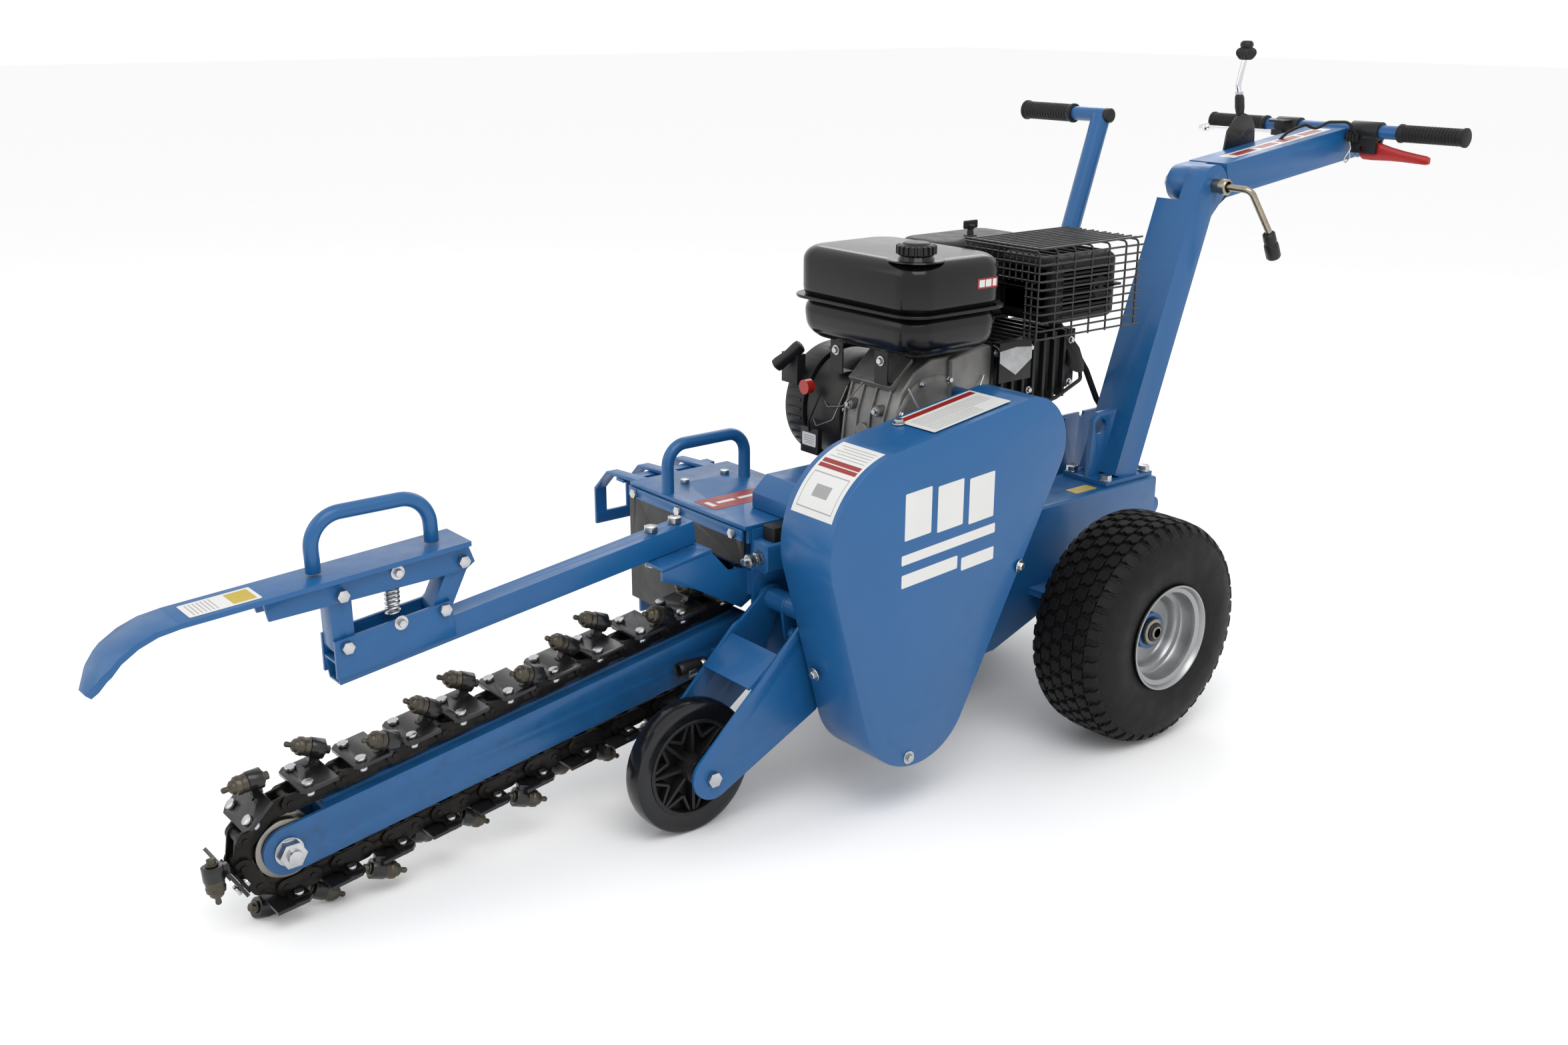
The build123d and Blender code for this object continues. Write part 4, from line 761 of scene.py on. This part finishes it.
# ------------------------------------------------------------------ throttle lever, stop lever, parking lever
def hull_mesh(name, rings, body, material, node=None, edge=1.0):
    """A skin over matching loops of points in mm, capped at both ends."""
    bm = bmesh.new()
    skin(bm, [[bm.verts.new([v * MM for v in p]) for p in ring] for ring in rings])
    o = solid(name, bm, edge, 3, body, material)
    if node:
        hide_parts(node)
    return o


def oval(centre, across, up, a, b, steps=20, power=0.8):
    c, u, v = Vector(centre), Vector(across), Vector(up)
    out = []
    for k in range(steps):
        t = 2 * math.pi * k / steps
        ct, st = math.cos(t), math.sin(t)
        out.append(c + u * (a * math.copysign(abs(ct) ** power,
                                              ct)) + v * (b * math.copysign(abs(st) ** power, st)))
    return out


stem = wires("throttle_stem", [[(553, 48, 1010), (546, 48, 1030), (560, 48, 1080)]], 5.2, "throttle_lever",
             CHROME, 5, round_off=12)
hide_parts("throttle_lever")
rings = []
for x, y, z, a, b in ((564, 48, 931, 10, 3.2), (563, 48, 950, 9, 3.2), (560, 48, 975, 8, 4.4),
                      (557, 48, 990, 9, 7), (554, 48, 1008, 8.5, 7), (552.5, 48, 1014, 6, 5.4)):
    rings.append(oval((x, y, z), (1, 0, 0), (0, 1, 0), a, b, power=0.6))
hull_mesh("throttle_socket", rings, "throttle_lever", PLASTIC, "throttle_lever")
nut = revolve([(4.4, 1013), (6.6, 1013), (7, 1014), (7, 1018), (6.6, 1019), (4.4, 1019)], (551.5, 48, 0), 6,
              "Z")
new("throttle_nut", finish_mesh(nut, "throttle_nut"), "throttle_lever", ZINC)
bm = bmesh.new()
loops = []
for r, z in ((10, 0), (12, 3), (13.5, 9), (14, 14), (13, 19), (10, 23.4)):
    loop = []
    for k in range(60):
        a = 2 * math.pi * k / 60
        wave = 1 + (0.42 if 8 < z < 20 else 0.12) * max(0, math.cos(5 * a)) ** 0.8
        loop.append(bm.verts.new(((THROTTLE_X + r * wave * math.cos(a)) * MM,
                                  (THROTTLE_Y + r * wave * math.sin(a)) * MM, (1074 + z) * MM)))
    loops.append(loop)
skin(bm, loops)
bmesh.ops.recalc_face_normals(bm, faces=bm.faces)
o = new("throttle_knob", finish_mesh(bm, "throttle_knob"), "throttle_lever", PLASTIC)
o.modifiers.new("round", "SUBSURF").levels = 1
o.modifiers["round"].render_levels = 1
smooth(o, 50)
turned("throttle_crown", [(0.1, 1108.6), (8, 1108), (11.4, 1104.6), (12, 1100), (10.4, 1096), (9, 1090),
                          (0.1, 1090)], (THROTTLE_X, THROTTLE_Y, 0), 40, 40, "throttle_lever", PLASTIC,
       axis="Z")
# plug in the open end of the depth lever's cross tube
turned("tube_plug", [(0.1, 139), (10, 139), (12.6, 140.6), (13, 144), (13, 150), (12.4, 150)],
       (305, 0, 980), 40, 30, "depth_lever", PLASTIC)

rings = []
for y, z, a, b in ((-66, 911, 3.6, 13), (-74, 911, 4.6, 18), (-92, 910.4, 5, 18), (-112, 908.6, 5.4, 15.4),
                   (-132, 906.4, 5.8, 12.6), (-156, 904, 6, 10.4), (-184, 901.4, 5.8, 9),
                   (-202, 900, 5, 8.2), (-209, 899.6, 3.6, 6)):
    rings.append(oval((788, y, z), (1, 0, 0), (0, 0, 1), a, b, power=0.7))
hull_mesh("stop_lever_look", rings, "stop_lever", RED, "stop_lever", 0.8)

lever = wires("park_rod", [[(758, 92, 934), (758, 262, 934)]], 3.6, "park_lever", CHROME, 5)
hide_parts("park_lever")
turned("park_ball", [(0.1, 258), (5, 258.6), (8.4, 262), (9.8, 267), (10, 272), (8.6, 278), (5, 282.6),
                     (0.1, 284.5)], (758, 0, 933), 40, 60, "park_lever", CHROME)
bm = bmesh.new()
box_mesh(bm, 753.8, 762.2, 86, 112, 928, 939)
solid("park_root", bm, 1.5, 3, "park_lever", PLASTIC)
for n, w in (("lever_mounts", 1.6), ("quadrant", 0.8), ("rubber_mounts", 0.8), ("recoil_housing", 2.0),
             ("pulleys", 0.6), ("head_shaft", 0.6), ("front_axle", 0.8), ("axle", 0.8)):
    dress(n, w)

# ------------------------------------------------------------------ engine details
CRANK_X, CRANK_Z = -268, 530
# cooling slots and ribs of the recoil cover
bm = bmesh.new()
for k in range(36):
    a = 2 * math.pi * k / 36
    c, s = math.cos(a), math.sin(a)
    pts = []
    for r, w in ((40, 1.6), (68, 2.4)):
        pts.append((r * c - w * s, r * s + w * c))
        pts.append((r * c + w * s, r * s - w * c))
    pts = [pts[0], pts[1], pts[3], pts[2]]
    slab_block(bm, [((CRANK_X + x) * MM, 0.2499, (CRANK_Z + z) * MM) for x, z in pts], (0, 0.0022, 0))
solid("recoil_ribs", bm, 0.5, 2, "chassis", PLASTIC)
bm = bmesh.new()
for k in range(40):
    a = 2 * math.pi * k / 40
    if 0.35 < a < 2.6:
        continue
    c, s = math.cos(a), math.sin(a)
    x, z = CRANK_X + 98 * c, CRANK_Z + 98 * s
    pts = [(x - 2.2 * s - 1.5 * c, z + 2.2 * c - 1.5 * s), (x + 2.2 * s - 1.5 * c, z - 2.2 * c - 1.5 * s),
           (x + 2.2 * s + 1.8 * c, z - 2.2 * c + 1.8 * s), (x - 2.2 * s + 1.8 * c, z + 2.2 * c + 1.8 * s)]
    slab_block(bm, [(px * MM, 0.198, pz * MM) for px, pz in pts], (0, 0.034, 0))
solid("recoil_edge_ribs", bm, 0.6, 2, "chassis", PLASTIC)
# crankcase cover with its bolts, exhaust elbow, heat shield, leads and governor rod
turned("case_cover", [(0.1, -27), (30, -27), (34, -24), (38, -18), (74, -18), (80, -16), (84, -13),
                      (84, -8)], (CRANK_X, 0, CRANK_Z), 72, 30, "chassis", CAST)
bm = bmesh.new()
for k in range(8):
    a = 2 * math.pi * (k + 0.5) / 8
    hexbolt(bm, (CRANK_X + 77 * math.cos(a), -17.5, CRANK_Z + 77 * math.sin(a)), (0, -1, 0), 4.6, 6, 1.35)
for x, z in ((-140, 560), (-60, 560), (40, 560), (-140, 632), (-60, 632), (40, 632)):
    hexbolt(bm, (x, -24.4, z), (0, -1, 0), 4.6, 6, 1.35)
solid("engine_fasteners", bm, 0.3, 2, "chassis", ZINC)
rings = []
for x, y, z, r in ((40, 20, 664, 16), (42, 10, 650, 16), (46, -6, 634, 16), (50, -20, 618, 16),
                   (52, -26, 600, 17), (52, -26, 588, 19)):
    rings.append(oval((x, y, z), (1, 0, 0), (0, 0.8, 0.6), r, r, power=1.0))
hull_mesh("exhaust_elbow", rings, "chassis", CAST_DARK, edge=0.6)
shield = []
for x in (-151, -132, -113, -94, -76):
    zt = 652 - abs(x + 113) * 0.10
    shield.append([(x, -27, zt), (x, -40, zt - 4), (x, -44, zt - 12), (x, -44, 596 + abs(x + 113) * 0.62),
                   (x, -42.6, 596 + abs(x + 113) * 0.62), (x, -42.6, zt - 12), (x, -39, zt - 6),
                   (x, -27, zt - 1.6)])
hull_mesh("heat_shield_look", shield, "chassis", GALV, edge=0.4)
wires("ignition_lead", [[(66, 40, 600), (92, 30, 606), (98, 4, 590), (70, -26, 560), (0, -34, 540),
                         (-120, -34, 520), (-196, -30, 500)]], 3.4, "chassis", RUBBER, 5,
      round_off=18)
wires("governor_rod", [[(-330, -20, 600), (-318, -34, 566), (-250, -36, 548), (-190, -30, 566),
                        (-168, -26, 600)]], 1.4, "chassis", ZINC, 4, round_off=10)
wires("switch_lead", [[(-372, 168, 500), (-380, 160, 520), (-374, 150, 548), (-364, 150, 566)]], 1.8,
      "chassis", RUBBER, 4, round_off=8)
for name, path in (("cable_throttle", [(344, 47, 760), (300, 47, 640), (260, 48, 500), (249, 50, 446),
                                       (218, 54, 486), (186, 57, 546), (146, 62, 600), (104, 90, 612),
                                       (78, 100, 600)]), ("cable_stop",
                                                          [(338, 55, 746), (300, 55, 640), (260, 56, 500),
                                                           (249, 58, 446), (218, 62, 486), (186, 65, 546),
                                                           (146, 71, 600), (108, 98, 602),
                                                           (80, 108, 588)])):
    o = wires(name, [path], 2.9, "chassis", RUBBER, 5, round_off=14)
    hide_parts("control_cables")
# ends of the cables on the handle: from the stop switch over the end of the arm, and from the throttle quadrant
wires("arm_cable", [[(772, -66, 936), (752, -58, 962), (722, -34, 962), (706, -18, 948), (690, -6, 958),
                     (650, 4, 944), (632, 10, 928)]], 2.8, "tilt_arm", RUBBER, 5, round_off=18)
wires("under_arm_cable", [[(452, -22, 852), (430, -24, 840), (412, -22, 828)]], 3, "tilt_arm", RUBBER,
      5, round_off=10)
wires("clip", [[(756, -62, 925), (748, -70, 914), (744, -62, 898), (752, -58, 884), (758, -64, 896),
                (750, -66, 916)]], 1.5, "tilt_arm", ZINC, 4, round_off=5)
boot = revolve([(7, -70), (9, -69), (13, -66), (9.5, -63), (13, -59.5), (9.5, -56.5), (12.4, -53),
                (8.6, -50), (10.6, -46.5), (6, -44), (6, -43)], (0, 0, 0), 40)
bmesh.ops.transform(boot, matrix=Matrix.Translation((0.766, 0, 0.934)) @ Matrix.Rotation(math.radians(10),
                                                                                         4, "Z"),
                    verts=boot.verts)
o = new("cable_boot", finish_mesh(boot, "cable_boot"), "tilt_arm", RUBBER)
smooth(o, 30)

# ------------------------------------------------------------------ engine body
def prism(bm, outline, y0, y1):
    slab_block(bm, [(x * MM, y0 * MM, z * MM) for x, z in outline], (0, (y1 - y0) * MM, 0))


def stud_x(bm, x0, x1, y, z, r, n=20):
    loop = [(x0 * MM, (y + r * math.cos(2 * math.pi * k / n)) * MM,
             (z + r * math.sin(2 * math.pi * k / n)) * MM) for k in range(n)]
    slab_block(bm, loop, ((x1 - x0) * MM, 0, 0))


bm = bmesh.new()
bm.from_mesh(NODES["engine_block"].data)
bmesh.ops.remove_doubles(bm, verts=bm.verts, dist=2e-6)
bmesh.ops.bisect_plane(bm, geom=bm.verts[:] + bm.edges[:] + bm.faces[:], plane_co=(-0.181, 0, 0),
                       plane_no=(1, 0, 0), clear_inner=True)
bmesh.ops.holes_fill(bm, edges=[e for e in bm.edges if e.is_boundary], sides=0)
o = solid("cylinder_look", bm, 1.6, 2, "chassis", CAST_DARK)
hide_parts("engine_block")
bm = bmesh.new()
prism(bm, [(-350, 409), (-356, 430), (-357, 500), (-352, 548), (-338, 590), (-312, 622), (-276, 639),
           (-180, 639), (-180, 409)], -14, 108)
box_mesh(bm, -364, -100, -34, 158, 397, 407)
box_mesh(bm, -350, -190, -24, 150, 405, 437)
prism(bm, [(-240, 560), (-240, 636), (-180, 646), (-140, 646), (-140, 560)], -22, 100)
o = solid("crankcase_look", bm, 5, 3, "chassis", CAST)
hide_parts("engine_block")
o = turned("fan_housing", [(0.1, 104), (84, 104), (92, 107), (95, 113), (95.6, 150), (94, 186), (90, 190),
                           (0.1, 190)], (CRANK_X, 0, CRANK_Z), 96, 40, "chassis", HOUSING)
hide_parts("engine_block")
bm = bmesh.new()
# ribs and bosses on the front of the crankcase, and the sheet brackets that carry the tank
for y in (6, 38, 68, 96):
    prism(bm, [(-358, 440), (-362, 470), (-362, 500), (-356, 552), (-341, 594), (-335, 588), (-346, 540),
               (-346, 440)], y, y + 5)
for y, z, r in ((22, 470, 11), (53, 470, 11), (84, 470, 11), (20, 560, 9), (84, 560, 9), (52, 520, 15)):
    stud_x(bm, -361.5, -335, y, z, r)
prism(bm, [(-340, 590), (-346, 600), (-340, 604), (-300, 640), (-296, 634)], 4, 104)
solid("crankcase_ribs", bm, 1.6, 3, "chassis", CAST)
bm = bmesh.new()
for y in (20, 126):
    box_mesh(bm, -352, -349, y - 15, y + 15, 604, 662)
    box_mesh(bm, -352, -318, y - 15, y + 15, 602, 605)
solid("tank_brackets", bm, 0.8, 2, "chassis", HOUSING)
bm = bmesh.new()
for y, z in ((20, 640), (126, 640)):
    hexbolt(bm, (-352, y, z), (-1, 0, 0), 5.6, 6, 1.5)
for y, z in ((22, 470), (84, 470), (20, 560), (84, 560)):
    hexbolt(bm, (-361.5, y, z), (-1, 0, 0), 5, 5.4, 1.3)
for angle in (35, 80, 125, 170, 215, 260):
    a = math.radians(angle)
    hexbolt(bm, (CRANK_X + 84 * math.cos(a), 105, CRANK_Z + 84 * math.sin(a)), (0, -1, 0), 4.4, 5, 1.3)
solid("crankcase_bolts", bm, 0.3, 2, "chassis", ZINC)
wires("throttle_rods", [[(-352, 160, 560), (-366, 130, 548), (-368, 90, 556), (-352, 60, 600)],
                        [(-360, 172, 520), (-372, 150, 512), (-372, 110, 530), (-350, 100, 585)]], 1.2,
      "chassis", STEEL, 4, round_off=8)
# grip, boot and guide of the starter rope
grip_bar = Vector((0.54, -0.54, 0.65)).normalized()
rope = Vector((-0.75, 0, 0.66)).normalized()
rope = (rope - grip_bar * rope.dot(grip_bar)).normalized()
side = grip_bar.cross(rope)
rings = []
for d, a, b in ((-29, 6, 6), (-27, 10, 9), (-20, 10.6, 9.6), (0, 9, 8.4), (20, 10.6, 9.6), (27, 10, 9),
                (29, 6, 6)):
    rings.append(oval(Vector((-374, 221, 617)) + grip_bar * d, rope, side, a, b, power=0.6))
hull_mesh("pull_grip", rings, "starter_handle", PLASTIC, "starter_handle", 1.2)
rings = []
for d, a in ((4, 7.5), (-10, 7), (-22, 4.6), (-34, 4), (-46, 5.6), (-50, 8)):
    rings.append(oval(Vector((-374, 221, 617)) + rope * d, grip_bar, side, a, a, power=1.0))
hull_mesh("pull_boot", rings, "starter_handle", RUBBER, None, 0.6)
bm = bmesh.new()
box_mesh(bm, -345, -318, 206, 238, 566, 590)
solid("rope_guide", bm, 4, 3, "chassis", PLASTIC)

# ------------------------------------------------------------------ stage and light
bpy.ops.mesh.primitive_plane_add(size=60, location=(0, 0, -0.0005))
floor = bpy.context.object
floor.name = "floor"
floor.data.materials.append(surface("floor", (0.96, 0.96, 0.96), 0.8, shade=0.99, grain=40, depth=0.02,
                                    spec=0.0))

sc = bpy.context.scene
world = bpy.data.worlds.new("world")
sc.world = world
world.use_nodes = True
world.node_tree.nodes["Background"].inputs[0].default_value = (1, 1, 1, 1)
world.node_tree.nodes["Background"].inputs[1].default_value = 1.0


def area(name, place, target, size, power):
    d = bpy.data.lights.new(name, "AREA")
    d.shape = "RECTANGLE"
    d.size, d.size_y = size
    d.energy = power
    o = bpy.data.objects.new(name, d)
    bpy.context.collection.objects.link(o)
    o.location = place
    o.rotation_euler = (Vector(target) - Vector(place)).to_track_quat("-Z", "Y").to_euler()


area("key", (-1.5, -2.2, 3.6), (-0.3, 0, 0.4), (3.0, 2.2), 66)
area("side", (-3.4, 1.6, 2.4), (-0.4, 0, 0.5), (2.2, 2.2), 14)
area("back", (2.4, 2.4, 2.8), (-0.2, 0, 0.5), (2.4, 1.8), 26)
sc.view_settings.view_transform = "Standard"
sc.view_settings.exposure = 0.0
